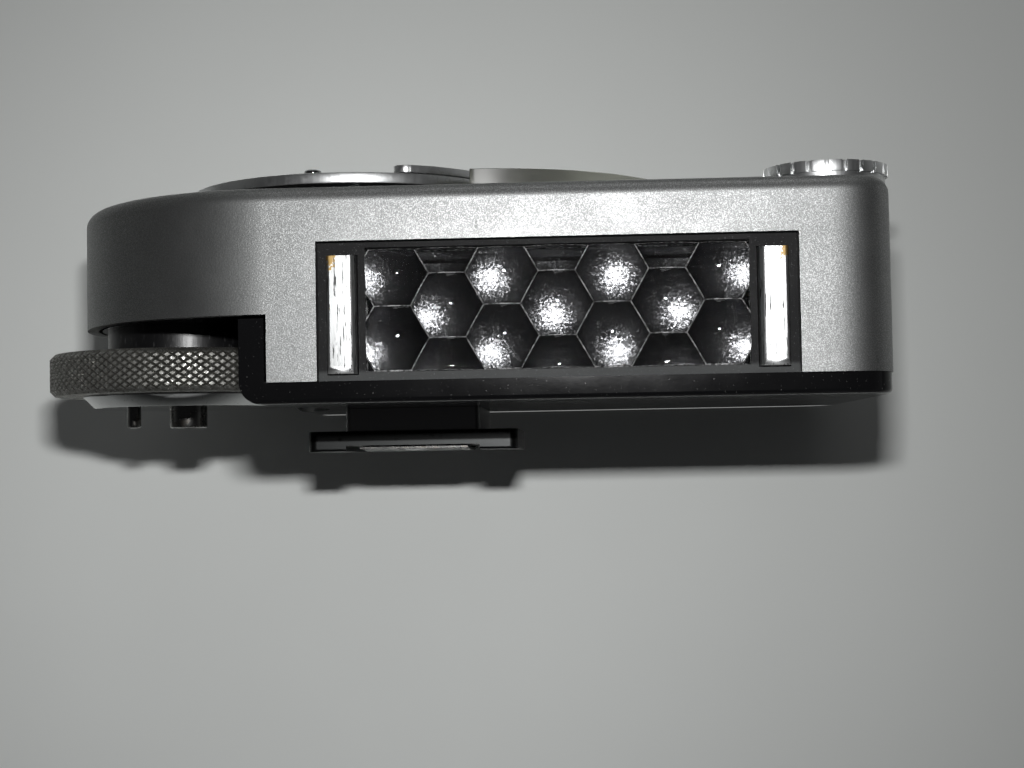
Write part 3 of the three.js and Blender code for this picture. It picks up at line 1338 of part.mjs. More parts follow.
// Assembly: the housing and the foot
place("case_shell", buildCaseShell(), satinChrome);
place("base_cover", buildBaseCover(), blackMoulding);
floorScrews.forEach(([x, y], i) => {
  place(`base_screw_${i + 1}`, screwFromBelow(x, y, BASE_BOTTOM, SHELL_EDGE), plainSteel);
});
place("base_screw_3", screwFromBelow(noseScrewX, noseScrewY, NOSE_EDGE, noseFloorTop), plainSteel);
place("shoe_foot", buildShoeFoot(), brightSteel);
place("shoe_spring", buildShoeSpring(), plainSteel);
rivetPlaces().forEach(([, y], i) => place(`spring_rivet_${i + 1}`, buildRivet(y), plainSteel));
footScrewPlaces().forEach(([x, y], i) => place(`foot_screw_${i + 1}`, buildFootScrew(x, y), plainSteel));

// Assembly: the cell behind its window
place("cell_bezel", buildCellBezel(), blackMoulding);
place("lens_plate", buildLensPlate(), clearLens);
place("selenium_cell", buildSeleniumCell(), darkCell);
place("cell_holder", buildCellHolder(), blackMoulding);
["left", "right"].forEach((side, i) => {
  place(`contact_bar_${side}`, barSolid(barPlaces()[i], i === 0, 0, 0), brightSteel);
  place(`cell_strip_${side}`, buildCellStrip(i * 2 - 1), gearBrass);
});

// Assembly: the coupling wheel and its bearing
place(
  "wheel_collar",
  tube(collar.radius - collar.wall, collar.radius, NOSE_EDGE - collar.below, NOSE_EDGE),
  satinChrome,
  wheelGroup,
);
place("wheel_bush", buildWheelBush(), gearBrass, wheelGroup);
place("lift_spring", buildLiftSpring(), plainSteel, wheelGroup);
place("coupling_wheel", buildCouplingWheel(), knurledChrome, wheelGroup);
place("coupling_disc", buildCouplingDisc(), brightSteel, wheelGroup);
place("coupling_pin", buildCouplingPin(), plainSteel, wheelGroup);
place("coupling_hub", buildCouplingHub(), plainSteel, wheelGroup);
place("wheel_shaft", buildWheelShaft(), plainSteel, wheelGroup);
place(
  "thrust_washer",
  tube(shaft.radius + FIT, washer.radius, bushTop + FIT, bushTop + washer.thick),
  plainSteel,
  wheelGroup,
);
place(
  "wheel_gear",
  buildGear(WHEEL_TEETH, GEAR_LINE, wheelGearBottom, gear.wheelWidth, shaft.radius + FIT, shaft.top),
  gearBrass,
  wheelGroup,
);

// Assembly: the dial
const gapSide = GEAR_LINE + 2 * QUARTER + Math.PI / DIAL_TEETH;
const dialGearHubTop = CEILING - dialShaft.flangeThick - SEAT;
place("dial_bush", buildDialBush(), gearBrass, dialGroup);
place("dial_shaft", buildDialShaft(), plainSteel, dialGroup);
place(
  "dial_gear",
  buildGear(DIAL_TEETH, gapSide, dialGearBottom, gear.dialWidth, dialShaft.radius + FIT, dialGearHubTop),
  gearBrass,
  dialGroup,
);
place("speed_disc", buildSpeedDisc(), satinChrome, dialGroup);
place("dial_ring", buildDialRing(), satinChrome, dialGroup);
place("dial_stud", buildDialStud(), brightSteel, dialGroup);
place("dial_screw", buildDialScrew(), brightSteel, dialGroup);
place("index_plate", buildIndexPlate(), brightSteel, dialGroup);
place("needle_window", buildNeedleWindow(), clearWindow);

// Assembly: the range switch
place("range_knob", buildRangeKnob(), brightSteel, knobGroup);
place("knob_shaft", buildKnobShaft(), plainSteel, knobGroup);
place("range_wiper", buildRangeWiper(), gearBrass, knobGroup);
place("switch_board", buildSwitchBoard(), boardBrown, knobGroup);
contactPlaces().forEach((spot, i) => {
  place(`switch_contact_${i + 1}`, buildSwitchContact(spot), gearBrass, knobGroup);
});
place("shunt_resistor", buildResistor(), paleScale, knobGroup);

// Assembly: the movement
place("movement_plate", buildMovementPlate(), gearBrass, movementGroup);
place("plate_screw_1", buildPlateScrew(plateScrew.backY), plainSteel, movementGroup);
place("plate_screw_2", buildPlateScrew(plateScrew.frontY), plainSteel, movementGroup);
place("magnet_ring", tube(magnet.inner, magnet.outer, plateTop, magnetTop), magnetIron, movementGroup);
place("iron_core", buildIronCore(), magnetIron, movementGroup);
place("moving_coil", buildCoil(), copperCoil, movementGroup);
place(
  "needle_staff",
  rod(staff.radius, coilTop, coilTop + staff.length, PIN_STEPS),
  plainSteel,
  movementGroup,
);
place("upper_hairspring", buildHairspring(coilTop + hairspring.aboveCoil), gearBrass, movementGroup);
place("lower_hairspring", buildHairspring(lowerSpringBottom), gearBrass, movementGroup);
place("needle", buildNeedle(), needleRed, movementGroup);
place("top_bridge", buildTopBridge(), gearBrass, movementGroup);
place(
  "upper_jewel_screw",
  rod(jewel.radius, bridgeBottom - FIT, bridgeBottom - FIT + jewel.length),
  gearBrass,
  movementGroup,
);
place(
  "lower_jewel_screw",
  rod(
    jewel.radius, coilBottom - coil.pivotLength - jewel.tipGap - jewel.length,
    coilBottom - coil.pivotLength - jewel.tipGap,
  ),
  gearBrass,
  movementGroup,
);
place("scale_plate", buildScalePlate(), paleScale);

export default meter;
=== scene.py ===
import json
import math

import bmesh
import bpy
from mathutils import Matrix, Vector


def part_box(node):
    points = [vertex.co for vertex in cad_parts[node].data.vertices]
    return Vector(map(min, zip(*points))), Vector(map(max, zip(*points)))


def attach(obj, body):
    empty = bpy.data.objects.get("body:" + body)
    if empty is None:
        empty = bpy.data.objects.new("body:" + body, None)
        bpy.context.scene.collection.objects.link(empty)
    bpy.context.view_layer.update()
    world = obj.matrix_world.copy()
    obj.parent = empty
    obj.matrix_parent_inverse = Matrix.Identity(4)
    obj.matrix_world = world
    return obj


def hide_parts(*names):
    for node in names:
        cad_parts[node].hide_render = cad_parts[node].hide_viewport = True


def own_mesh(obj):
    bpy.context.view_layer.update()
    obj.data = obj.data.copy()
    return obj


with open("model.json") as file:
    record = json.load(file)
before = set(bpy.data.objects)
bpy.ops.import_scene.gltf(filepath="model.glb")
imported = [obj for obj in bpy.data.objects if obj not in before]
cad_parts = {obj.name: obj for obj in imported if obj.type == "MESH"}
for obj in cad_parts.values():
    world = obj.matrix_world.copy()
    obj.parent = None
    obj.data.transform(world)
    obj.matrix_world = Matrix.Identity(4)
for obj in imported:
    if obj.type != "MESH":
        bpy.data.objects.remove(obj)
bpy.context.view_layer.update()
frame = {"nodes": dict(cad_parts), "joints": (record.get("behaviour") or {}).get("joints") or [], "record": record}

bl_info = {
    "name": "Shoe mount light meter",
    "version": (1, 0, 0),
    "blender": (4, 5, 0),
    "location": "3D View > Sidebar > Light meter",
    "description": "Models the visible pieces of a shoe mount light meter and gives each its finish",
    "category": "Add Mesh",
}

MM = 0.001
JOINTS = {joint["name"]: joint for joint in frame["joints"]}
WHEEL, DIAL, KNOB, NEEDLE = (
    tuple(JOINTS[name]["pos_m"][:2]) for name in ("wheel_turn", "dial_turn", "range_turn", "needle_swing")
)

SHELL_LOW, SHELL_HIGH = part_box("case_shell")
FRONT, BACK = SHELL_LOW.y, SHELL_HIGH.y
MIDDLE = (FRONT + BACK) / 2
NOSE = (BACK - FRONT) / 2
STEP = SHELL_LOW.x + NOSE  # where the round nose meets the deeper part
NOSE_EDGE = 11 * MM  # height of the nose's lower edge
BASE_LEFT = STEP - 2.25 * MM
CORNER_STEPS, CORNER_PROFILE = 20, 0.618
WINDOW_LOW, WINDOW_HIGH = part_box("cell_bezel")
WINDOW_LIP = 0.8 * MM
LENS_LOW, LENS_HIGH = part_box("lens_plate")
LENS_SILL = 0.45 * MM  # how far the bezel covers the plate's lower edge
RING_LOW, RING_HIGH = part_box("dial_ring")
DIAL_RADIUS = RING_HIGH.x - DIAL[0]
WHEEL_BORE = 1.55 * MM
POCKET_RADIUS = 12.45 * MM  # of the room for the wheel in the base
SCREW_NUMBERS = (1, 2, 3)
SIDES = ("left", "right")

FINE, FINEST = 192, 256  # steps round a large circle
FIT = 0.05 * MM  # play round what sits in a seat
PAST = 1 * MM  # how far a cutter reaches past what it cuts
ROOF = (19 * MM, 23 * MM)  # heights below and above the housing's roof


def length(name, default, description):
    return bpy.props.FloatProperty(
        name=name, description=description, default=default, min=0, precision=5, unit="LENGTH", subtype="DISTANCE"
    )


def amount(name, default, least, description):
    return bpy.props.IntProperty(name=name, description=description, default=default, min=least)


def colour(name, default, description):
    return bpy.props.FloatVectorProperty(
        name=name, description=description, default=default, size=3, min=0, max=1, subtype="COLOR"
    )


class MeterSizes(bpy.types.PropertyGroup):
    """Sizes of the light meter's pieces"""

    wall: length("Wall", 1 * MM, "Thickness of the housing's sheet")
    edge_round: length("Edge round", 1.3 * MM, "Radius of the housing's upper edge")
    corner: length("Corner", 5.5 * MM, "Reach of the rounds at the housing's two right corners")
    base_inset: length("Base inset", 0.1 * MM, "How far the base stands inside the housing")
    lens_radius: length("Lens radius", 4.8 * MM, "Radius of the front of each lens dome")
    lens_pitch_x: length("Lens column pitch", 4.42 * MM, "Distance between two columns of domes")
    lens_pitch_z: length("Lens row pitch", 5.2 * MM, "Distance between two domes of a column")
    lens_rise: length("Lens rise", 0.58 * MM, "How far the middle dome sits above the middle of the plate")
    knurl_count: amount("Knurl count", 82, 12, "Diamonds round the rim of the wheel")
    knurl_rows: amount("Knurl rows", 6, 1, "Rows of diamonds over the height of the wheel")
    knurl_depth: length("Knurl depth", 0.26 * MM, "Depth of the knurl")
    knob_teeth: amount("Knob teeth", 22, 6, "Teeth round the range knob")
    knob_notch: length("Knob notch", 0.36 * MM, "Depth between two teeth of the range knob")


class MeterColours(bpy.types.PropertyGroup):
    """Colours of the light meter's finishes"""

    chrome: colour("Satin chrome", (0.256, 0.261, 0.259), "The housing")
    bright: colour("Bright chrome", (0.62, 0.63, 0.63), "Bars, disc and dial")
    steel: colour("Steel", (0.42, 0.43, 0.43), "Screws and springs")
    moulding: colour("Black moulding", (0.005, 0.005, 0.0055), "Base and bezel")
    lens: colour("Lens", (0.95, 0.96, 0.97), "The honeycomb plate")
    cell: colour("Cell", (0.04, 0.04, 0.041), "The face of the cell")
    window: colour("Needle window", (0.62, 0.63, 0.55), "The clear cover of the needle")
    brass: colour("Brass", (0.55, 0.38, 0.14), "Gears and bearings")
    scale: colour("Scale", (0.72, 0.7, 0.62), "The painted scale")
    marks: colour("Marks", (0.015, 0.015, 0.016), "Engraved numbers")
    floor: colour("Floor", (0.79, 0.81, 0.79), "The pale sheet it lies on")


class Value:
    """One output of a shader node, which sums and products take as a number"""

    def __init__(self, nodes, socket):
        self.nodes, self.socket = nodes, socket

    def maths(self, operation, *parts):
        return self.nodes.node("ShaderNodeMath", {"operation": operation}, dict(enumerate(parts)))

    def __add__(self, other):
        return self.maths("ADD", self, other)

    def __radd__(self, other):
        return self.maths("ADD", other, self)

    def __sub__(self, other):
        return self.maths("SUBTRACT", self, other)

    def __rsub__(self, other):
        return self.maths("SUBTRACT", other, self)

    def __mul__(self, other):
        return self.maths("MULTIPLY", self, other)

    def __rmul__(self, other):
        return self.maths("MULTIPLY", other, self)

    def __abs__(self):
        return self.maths("ABSOLUTE", self)

    def rise(self, low, high):
        """From 0 where the value is low to 1 where it is high, in a smooth step"""
        inputs = {"Value": self, "From Min": low, "From Max": high}
        return self.nodes.node("ShaderNodeMapRange", {"interpolation_type": "SMOOTHSTEP"}, inputs)


class Nodes:
    """The nodes of one finish, or of the room"""

    def __init__(self, tree):
        self.tree = tree

    def node(self, kind, settings=None, inputs=None, output=0):
        made = self.tree.nodes.new(kind)
        for key, value in (settings or {}).items():
            setattr(made, key, value)
        for key, value in (inputs or {}).items():
            if isinstance(value, Value):
                self.tree.links.new(value.socket, made.inputs[key])
            else:
                made.inputs[key].default_value = value
        return Value(self, made.outputs[output] if made.outputs else None)

    def vector(self, operation, *parts, output=0):
        return self.node("ShaderNodeVectorMath", {"operation": operation}, dict(enumerate(parts)), output)

    def axis(self, letter, place):
        return self.node("ShaderNodeSeparateXYZ", {}, {0: place}, letter)

    def tint(self, share, first, second):
        """A mix of two colours, each a value or fixed"""
        inputs = {0: share}
        for key, tone in ((6, first), (7, second)):
            inputs[key] = tone if isinstance(tone, Value) else (*tone, 1)
        return self.node("ShaderNodeMix", {"data_type": "RGBA"}, inputs, 2)


class Finish(Nodes):
    """A finish under construction: its shader and its nodes. Sizes and depths are in millimetres"""

    def __init__(self, name, constants):
        self.material = bpy.data.materials.new(name)
        self.material.use_nodes = True
        super().__init__(self.material.node_tree)
        self.shader = self.tree.nodes["Principled BSDF"]
        for socket, value in constants.items():
            self.shader.inputs[socket].default_value = value
        self.place = self.node("ShaderNodeTexCoord", output="Object")

    def stretched(self, x, y, z):
        return self.node("ShaderNodeMapping", {}, {"Vector": self.place, "Scale": (x, y, z)})

    def distance(self, x, y, z, axes):
        """Distance from a place, along the axes that are 1"""
        centred = self.node("ShaderNodeMapping", {}, {"Vector": self.place, "Location": (-x, -y, -z)})
        return self.vector("LENGTH", self.vector("MULTIPLY", centred, axes), output="Value")

    def grain(self, size, detail=2, place=None):
        """Noise whose features are about that size"""
        inputs = {"Vector": place or self.place, "Scale": 1 / (size * MM), "Detail": detail, "Roughness": 0.6}
        return self.node("ShaderNodeTexNoise", {}, inputs, "Fac")

    def facets(self, size, lean):
        """Small flat specks, each turned its own way, to be added to a normal"""
        inputs = {"Vector": self.place, "Scale": 1 / (size * MM)}
        turn = self.node("ShaderNodeTexVoronoi", {}, inputs, "Color")
        return self.vector("MULTIPLY", self.vector("SUBTRACT", turn, (0.5, 0.5, 0.5)), (lean, 0, lean))

    def relief(self, height, depth, strength):
        """Bumps of that depth, from a value or from plain grain of a size"""
        if not isinstance(height, Value):
            height = self.grain(height)
        return self.node("ShaderNodeBump", {}, {"Height": height, "Distance": depth * MM, "Strength": strength})

    def wear(self, share, under, over, roughness=None, normal=None):
        """Links what varies over the surface to the shader: a mix of two colours, roughness and normal"""
        tone = self.tint(share, under, over)
        for socket, value in {"Base Color": tone, "Roughness": roughness, "Normal": normal}.items():
            if value:
                self.tree.links.new(value.socket, self.shader.inputs[socket])


METAL = {"Metallic": 1.0}
CLEAR = {"Transmission Weight": 1.0, "IOR": 1.49}
RECIPES = {}
MADE = {}


def recipe(constants):
    """Keeps how a finish is made under its function's name, with what is the same all over it"""

    def keep(make):
        RECIPES[make.__name__] = (make, constants)

    return keep


def finish_named(name):
    if name not in MADE:
        make, constants = RECIPES[name]
        finish = Finish(name, constants)
        make(finish)
        MADE[name] = finish.material
    return MADE[name]


def palette(name):
    return tuple(getattr(bpy.context.scene.meter_colours, name))


def scaled(tone, share):
    return tuple(min(1, part * share) for part in tone)


@recipe(METAL)
def satin_chrome(finish):
    chrome = palette("chrome")
    sparkle = finish.grain(0.085, 1).rise(0.45, 0.66)
    pit = finish.grain(0.9).rise(0.72, 0.78)
    grained = finish.tint(sparkle, scaled(chrome, 0.8), scaled(chrome, 1.35))
    roughness = 0.445 + finish.grain(6, 3) * 0.14 - sparkle * 0.1
    finish.wear(pit * 0.35, grained, scaled(chrome, 0.35), roughness, finish.relief(0.16, 0.02, 0.55))


@recipe(METAL)
def knurled_chrome(finish):
    """Painted shade in its grooves, random grime, and bright flecks"""
    grime = finish.grain(0.5, 3).rise(0.42, 0.62)
    fleck = finish.grain(0.16, 1).rise(0.6, 0.7)
    crest = finish.distance(*WHEEL, 0, (1, 1, 0)).rise(11.62 * MM, 11.86 * MM)
    metal = finish.tint(fleck, (0.36, 0.36, 0.34), (0.85, 0.85, 0.82))
    roughness = 0.54 - fleck * 0.25 + grime * 0.1
    # Painted shade: darker in the grooves below the crests, plus random grime
    groove_shade_and_grime = (1 - crest) * 0.45 + grime * 0.4
    finish.wear(groove_shade_and_grime, metal, (0.09, 0.085, 0.075), roughness, finish.relief(0.14, 0.03, 0.6))


@recipe(METAL)
def bright_chrome(finish):
    bright = palette("bright")
    scratches = finish.grain(0.25, 3, finish.stretched(1, 1, 0.06)).rise(0.6, 0.7)
    cloud = finish.grain(3, 3)
    share = cloud * 0.6 + scratches * 0.4
    roughness = 0.03 + cloud * 0.05 + scratches * 0.1
    brushed = finish.relief(finish.grain(0.3, 2, finish.stretched(1, 1, 0.1)), 0.004, 0.3)
    finish.wear(share, scaled(bright, 0.95), scaled(bright, 0.35), roughness, brushed)


@recipe(METAL)
def foot_steel(finish):
    """Pale below on the flange, near black above it in painted shadow of the body, and grey on the neck"""
    rub = finish.grain(0.3, 3, finish.stretched(0.15, 1, 1))
    spot = finish.grain(0.7, 3).rise(0.6, 0.72)
    height = finish.axis("Z", finish.place)
    # Painted shadow: the flange turns near black above 0.8 to 1 mm, where the body's shadow falls; the spots are real
    share = height.rise(0.8 * MM, 1.0 * MM) * 0.9 + spot * 0.1
    flange = finish.tint(share, (0.03, 0.031, 0.031), (0.001, 0.001, 0.001))
    neck = height.rise(1.74 * MM, 1.82 * MM)
    finish.wear(neck, flange, (0.26, 0.26, 0.26), 0.3 + rub * 0.08 + spot * 0.1, finish.relief(rub, 0.006, 0.4))


@recipe(METAL)
def bar_chrome(finish):
    """Scratched, and worn to the brass at its outer upper edge"""
    top = finish.axis("Z", finish.place).rise(13.5 * MM, 15.6 * MM)
    middle = (WINDOW_LOW.x + WINDOW_HIGH.x) / 2
    outer = abs(finish.axis("X", finish.place) - middle).rise(17.0 * MM, 18.1 * MM)
    worn = ((finish.grain(0.35, 4) + top * outer * 0.36) - 0.05).rise(0.66, 0.72)
    scratch = finish.grain(0.17, 3, finish.stretched(1, 1, 0.07)).rise(0.57, 0.62)
    chrome = finish.tint(scratch * 0.93, scaled(palette("bright"), 0.85), (0.03, 0.03, 0.03))
    brushed = finish.relief(finish.grain(0.2, 2, finish.stretched(1, 1, 0.15)), 0.01, 0.4)
    finish.wear(worn, chrome, (0.35, 0.24, 0.1), 0.29 + worn * 0.25 + scratch * 0.2, brushed)


@recipe(METAL)
def turned_chrome(finish):
    bright = palette("bright")
    lines = finish.grain(0.22, 3, finish.stretched(1, 1, 0.08))
    worn = finish.grain(0.6, 3).rise(0.55, 0.7)
    roughness = 0.27 + lines * 0.14 + worn * 0.1
    finish.wear(worn * 0.5, bright, scaled(bright, 0.6), roughness, finish.relief(lines, 0.015, 0.6))


@recipe(METAL)
def dark_steel(finish):
    # A darker copy of plain steel: painted shade for pieces sitting in shadow under the wheel and foot; its stains are
    # real
    stain = finish.grain(0.8, 4).rise(0.45, 0.7)
    relief = finish.relief(0.2, 0.012, 0.4)
    finish.wear(stain, (0.16, 0.16, 0.155), (0.07, 0.062, 0.055), 0.2 + stain * 0.2, relief)


@recipe(METAL)
def plain_steel(finish):
    stain = finish.grain(1.2, 4).rise(0.5, 0.75)
    relief = finish.relief(0.25, 0.012, 0.4)
    finish.wear(stain * 0.6, palette("steel"), (0.16, 0.13, 0.1), 0.3 + stain * 0.25, relief)


@recipe({"Specular IOR Level": 0.26})
def black_moulding(finish):
    dust = finish.grain(0.22, 3).rise(0.66, 0.74)
    roughness = 0.07 + finish.grain(5, 3) * 0.1 + dust * 0.3
    relief = finish.relief(finish.grain(0.35, 3), 0.01, 0.2)
    finish.wear(dust * 0.35, palette("moulding"), (0.16, 0.16, 0.15), roughness, relief)


@recipe({"Specular IOR Level": 0.5})
def black_enamel(finish):
    rub = finish.grain(0.2, 3, finish.stretched(1, 1, 0.2))
    share, relief = rub.rise(0.6, 0.7) * 0.3, finish.relief(rub, 0.015, 0.5)
    finish.wear(share, palette("moulding"), (0.15, 0.15, 0.15), 0.27 + rub * 0.12, relief)


@recipe({"Specular IOR Level": 0.18})
def black_satin(finish):
    """Dusty, and paler grey towards its lower edge"""
    # Paler grey below 6.1 to 6.5 mm, on top of random dust
    sill = 1 - finish.axis("Z", finish.place).rise(6.1 * MM, 6.5 * MM)
    share = finish.grain(0.12).rise(0.64, 0.72) * 0.4 + sill * 0.26
    roughness = 0.48 + finish.grain(4, 3) * 0.2
    relief = finish.relief(finish.grain(0.2, 3), 0.03, 0.5)
    finish.wear(share, palette("moulding"), (0.22, 0.23, 0.23), roughness, relief)


@recipe(CLEAR)
def lens_glass(finish):
    dust = finish.grain(0.16).rise(0.68, 0.74)
    relief = finish.relief(0.5, 0.006, 0.35)
    finish.wear(dust, palette("lens"), (0.6, 0.6, 0.58), 0.015 + dust * 0.25, relief)


@recipe({})
def lens_groove(finish):
    # Painted highlight and dust: a pale grey along the valleys between domes stands in for the light lines they catch
    dust = finish.grain(0.3, 3)
    share, relief = dust.rise(0.35, 0.65), finish.relief(dust, 0.01, 0.4)
    finish.wear(share, (0.01, 0.01, 0.01), (0.3, 0.3, 0.3), 0.3 + dust * 0.2, relief)


@recipe({**CLEAR, "Transmission Weight": 0.94})
def clear_window(finish):
    """Darker at its left end by painted shade, clear above and duller on its upright faces"""
    # Painted shade: the left end is tinted dark olive grey
    left = 1 - finish.axis("X", finish.place).rise(6.5 * MM, 12 * MM)
    scratch = finish.grain(0.2, 3, finish.stretched(1, 0.1, 1)).rise(0.66, 0.72)
    flat = finish.axis("Z", finish.node("ShaderNodeNewGeometry", output="Normal")).rise(0.2, 0.8)
    roughness = (1 - flat) * 0.3 + 0.03 + scratch * 0.2
    finish.wear(left * 0.75, palette("window"), (0.15, 0.15, 0.09), roughness, finish.relief(2, 0.02, 0.2))


@recipe(METAL)
def cell_surface(finish):
    """A dark mirror that leans down by a hair, crazed all over"""
    cell = palette("cell")
    fleck = finish.grain(0.1).rise(0.6, 0.7)
    crazed = finish.relief(finish.grain(0.3, 3), 0.008, 0.6)
    specks = finish.vector("ADD", crazed, finish.facets(0.085, 0.07))
    leaning = finish.vector("ADD", specks, (0, 0, -0.043))
    finish.wear(fleck, cell, scaled(cell, 2.5), 0.125 - fleck * 0.03, leaning)


@recipe(METAL)
def gear_brass(finish):
    brass = palette("brass")
    tarnish = finish.grain(1.5, 4).rise(0.45, 0.75)
    relief = finish.relief(0.2, 0.01, 0.4)
    finish.wear(tarnish * 0.7, brass, scaled(brass, 0.4), 0.28 + tarnish * 0.25, relief)


@recipe({})
def board_brown(finish):
    fibre = finish.grain(0.5, 3, finish.stretched(1, 0.15, 1))
    relief = finish.relief(fibre, 0.03, 0.4)
    finish.wear(fibre, (0.11, 0.045, 0.015), (0.24, 0.12, 0.05), 0.5 + fibre * 0.2, relief)


@recipe({})
def resistor_body(finish):
    speck = finish.grain(0.3, 3)
    relief = finish.relief(speck, 0.02, 0.3)
    finish.wear(speck, (0.25, 0.15, 0.07), (0.42, 0.3, 0.16), 0.4 + speck * 0.2, relief)


@recipe(METAL)
def magnet_iron(finish):
    cast = finish.grain(0.4, 4)
    relief = finish.relief(cast, 0.04, 0.5)
    finish.wear(cast, (0.07, 0.07, 0.075), (0.2, 0.2, 0.2), 0.5 + cast * 0.2, relief)


@recipe(METAL)
def coil_copper(finish):
    wave = {"Vector": finish.place, "Scale": 900.0}
    wires = finish.node("ShaderNodeTexWave", {"bands_direction": "Z"}, wave, "Fac")
    relief = finish.relief(wires, 0.05, 0.6)
    finish.wear(wires, (0.18, 0.05, 0.02), (0.6, 0.24, 0.1), 0.3 + wires * 0.1, relief)


@recipe({})
def needle_paint(finish):
    speck = finish.grain(0.3)
    relief = finish.relief(speck, 0.01, 0.3)
    finish.wear(speck, (0.3, 0.025, 0.018), (0.4, 0.05, 0.03), 0.35 + speck * 0.15, relief)


@recipe({})
def scale_paint(finish):
    scale = palette("scale")
    stain = finish.grain(3, 4).rise(0.45, 0.8)
    finish.wear(stain * 0.6, scale, scaled(scale, 0.6), 0.5 + stain * 0.15, finish.relief(0.3, 0.01, 0.3))


@recipe({})
def mark_ink(finish):
    marks = palette("marks")
    fade = finish.grain(0.4, 3)
    finish.wear(fade, marks, scaled(marks, 4), 0.45 + fade * 0.2, finish.relief(fade, 0.01, 0.3))


def clear():
    if bpy.context.mode != "OBJECT":
        bpy.ops.object.mode_set(mode="OBJECT")
    bpy.ops.object.select_all(action="DESELECT")


def hold(*pieces):
    """Selects the pieces, the last of them active"""
    clear()
    for piece in pieces:
        piece.select_set(True)
    bpy.context.view_layer.objects.active = pieces[-1]


def shape(piece):
    """Opens a piece in edit mode, all of it selected"""
    hold(piece)
    bpy.ops.object.mode_set(mode="EDIT")
    bpy.ops.mesh.select_all(action="SELECT")


def close_up(doubles=None):
    """Merges what lies that near, turns all faces outwards and leaves edit mode"""
    bpy.ops.mesh.select_all(action="SELECT")
    if doubles:
        bpy.ops.mesh.remove_doubles(threshold=doubles)
    bpy.ops.mesh.normals_make_consistent(inside=False)
    clear()


def pick(kind, test):
    """Selects the vertices, edges or faces that pass a test"""
    bpy.ops.mesh.select_mode(type=kind)
    bpy.ops.mesh.select_all(action="DESELECT")
    mesh = bmesh.from_edit_mesh(bpy.context.edit_object.data)
    for part in {"VERT": mesh.verts, "EDGE": mesh.edges, "FACE": mesh.faces}[kind]:
        if test(part):
            part.select_set(True)
    mesh.select_flush_mode()
    bmesh.update_edit_mesh(bpy.context.edit_object.data)


def along(edge, letter):
    """Whether an edge runs along one axis"""
    run = edge.verts[1].co - edge.verts[0].co
    return abs(getattr(run.normalized(), letter)) > 0.99


def upright(edge):
    return along(edge, "z")


def near(value, target, room=0.02 * MM):
    return abs(value - target) < room


def centre_of(edge):
    return (edge.verts[0].co + edge.verts[1].co) / 2


def stand(name):
    """The axis and the heights of both ends of an upright solid of the frame"""
    low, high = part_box(name)
    return ((low.x + high.x) / 2, (low.y + high.y) / 2), low.z, high.z


def placed(name):
    """Names the new primitive and puts its place and size into its mesh"""
    piece = bpy.context.object
    piece.name = name
    piece.data.name = name
    hold(piece)
    bpy.ops.object.transform_apply(location=True, rotation=True, scale=True)
    return piece


def cube(name, low, high):
    clear()
    low, high = Vector(low), Vector(high)
    bpy.ops.mesh.primitive_cube_add(size=1, location=(low + high) / 2, scale=high - low)
    return placed(name)


def cylinder(name, centre, radius, bottom, top, steps=96):
    clear()
    middle = (*centre, (bottom + top) / 2)
    bpy.ops.mesh.primitive_cylinder_add(vertices=steps, radius=radius, depth=top - bottom, location=middle)
    return placed(name)


def outline(radius, height, *offsets):
    """Points of a profile, in millimetres out and up from a radius and a height"""
    return [(radius + out * MM, height + up * MM) for out, up in offsets]


def turned(name, centre, profile, steps):
    """Draws a circle out and in along a profile of radii and heights, and closes both its ends"""
    clear()
    radius, height = profile[0]
    bpy.ops.mesh.primitive_circle_add(vertices=steps, radius=radius, fill_type="NOTHING", location=(*centre, height))
    piece = placed(name)
    shape(piece)
    bpy.ops.mesh.select_mode(type="EDGE")
    bpy.ops.mesh.select_all(action="SELECT")
    closed = profile[0] == profile[-1]
    if not closed:
        bpy.ops.mesh.edge_face_add()
        pick("EDGE", lambda edge: near(centre_of(edge).z, height))
    for next_radius, next_height in profile[1:]:
        bpy.ops.mesh.extrude_edges_move(TRANSFORM_OT_translate={"value": (0, 0, next_height - height)})
        share = next_radius / radius
        bpy.ops.transform.resize(value=(share, share, 1), center_override=(*centre, next_height))
        radius, height = next_radius, next_height
    if not closed:
        bpy.ops.mesh.edge_face_add()
    close_up(0.001 * MM)
    return piece


def modify(piece, kind, **settings):
    """Adds a modifier and applies it"""
    hold(piece)
    bpy.ops.object.modifier_add(type=kind)
    modifier = piece.modifiers[-1]
    for key, value in settings.items():
        setattr(modifier, key, value)
    bpy.ops.object.modifier_apply(modifier=modifier.name)


def remove(piece):
    hold(piece)
    bpy.ops.object.delete()


def cut(piece, *cutters, operation="DIFFERENCE"):
    for cutter in cutters:
        modify(piece, "BOOLEAN", object=cutter, operation=operation, solver="EXACT")
        remove(cutter)


def weld(piece, *others):
    cut(piece, *others, operation="UNION")


def trim(piece, place, outward, fill=True):
    """Cuts off what lies outside a plane"""
    shape(piece)
    bpy.ops.mesh.bisect(plane_co=place, plane_no=outward, use_fill=fill, clear_outer=True, threshold=1e-7)
    clear()


def soften(piece, width, segments=2, angle=40):
    limit = math.radians(angle)
    modify(
        piece, "BEVEL", width=width, segments=segments, limit_method="ANGLE", angle_limit=limit, use_clamp_overlap=True
    )


def round_edges(piece, test, radius, segments, profile=0.5):
    shape(piece)
    pick("EDGE", test)
    bpy.ops.mesh.bevel(offset=radius, segments=segments, profile=profile, affect="EDGES", clamp_overlap=False)
    clear()


def smooth(piece, sharp):
    """Smooths the edges below an angle, and keeps the large faces between them flat"""
    hold(piece)
    bpy.ops.object.shade_smooth_by_angle(angle=math.radians(sharp))
    modify(piece, "WEIGHTED_NORMAL", keep_sharp=True)


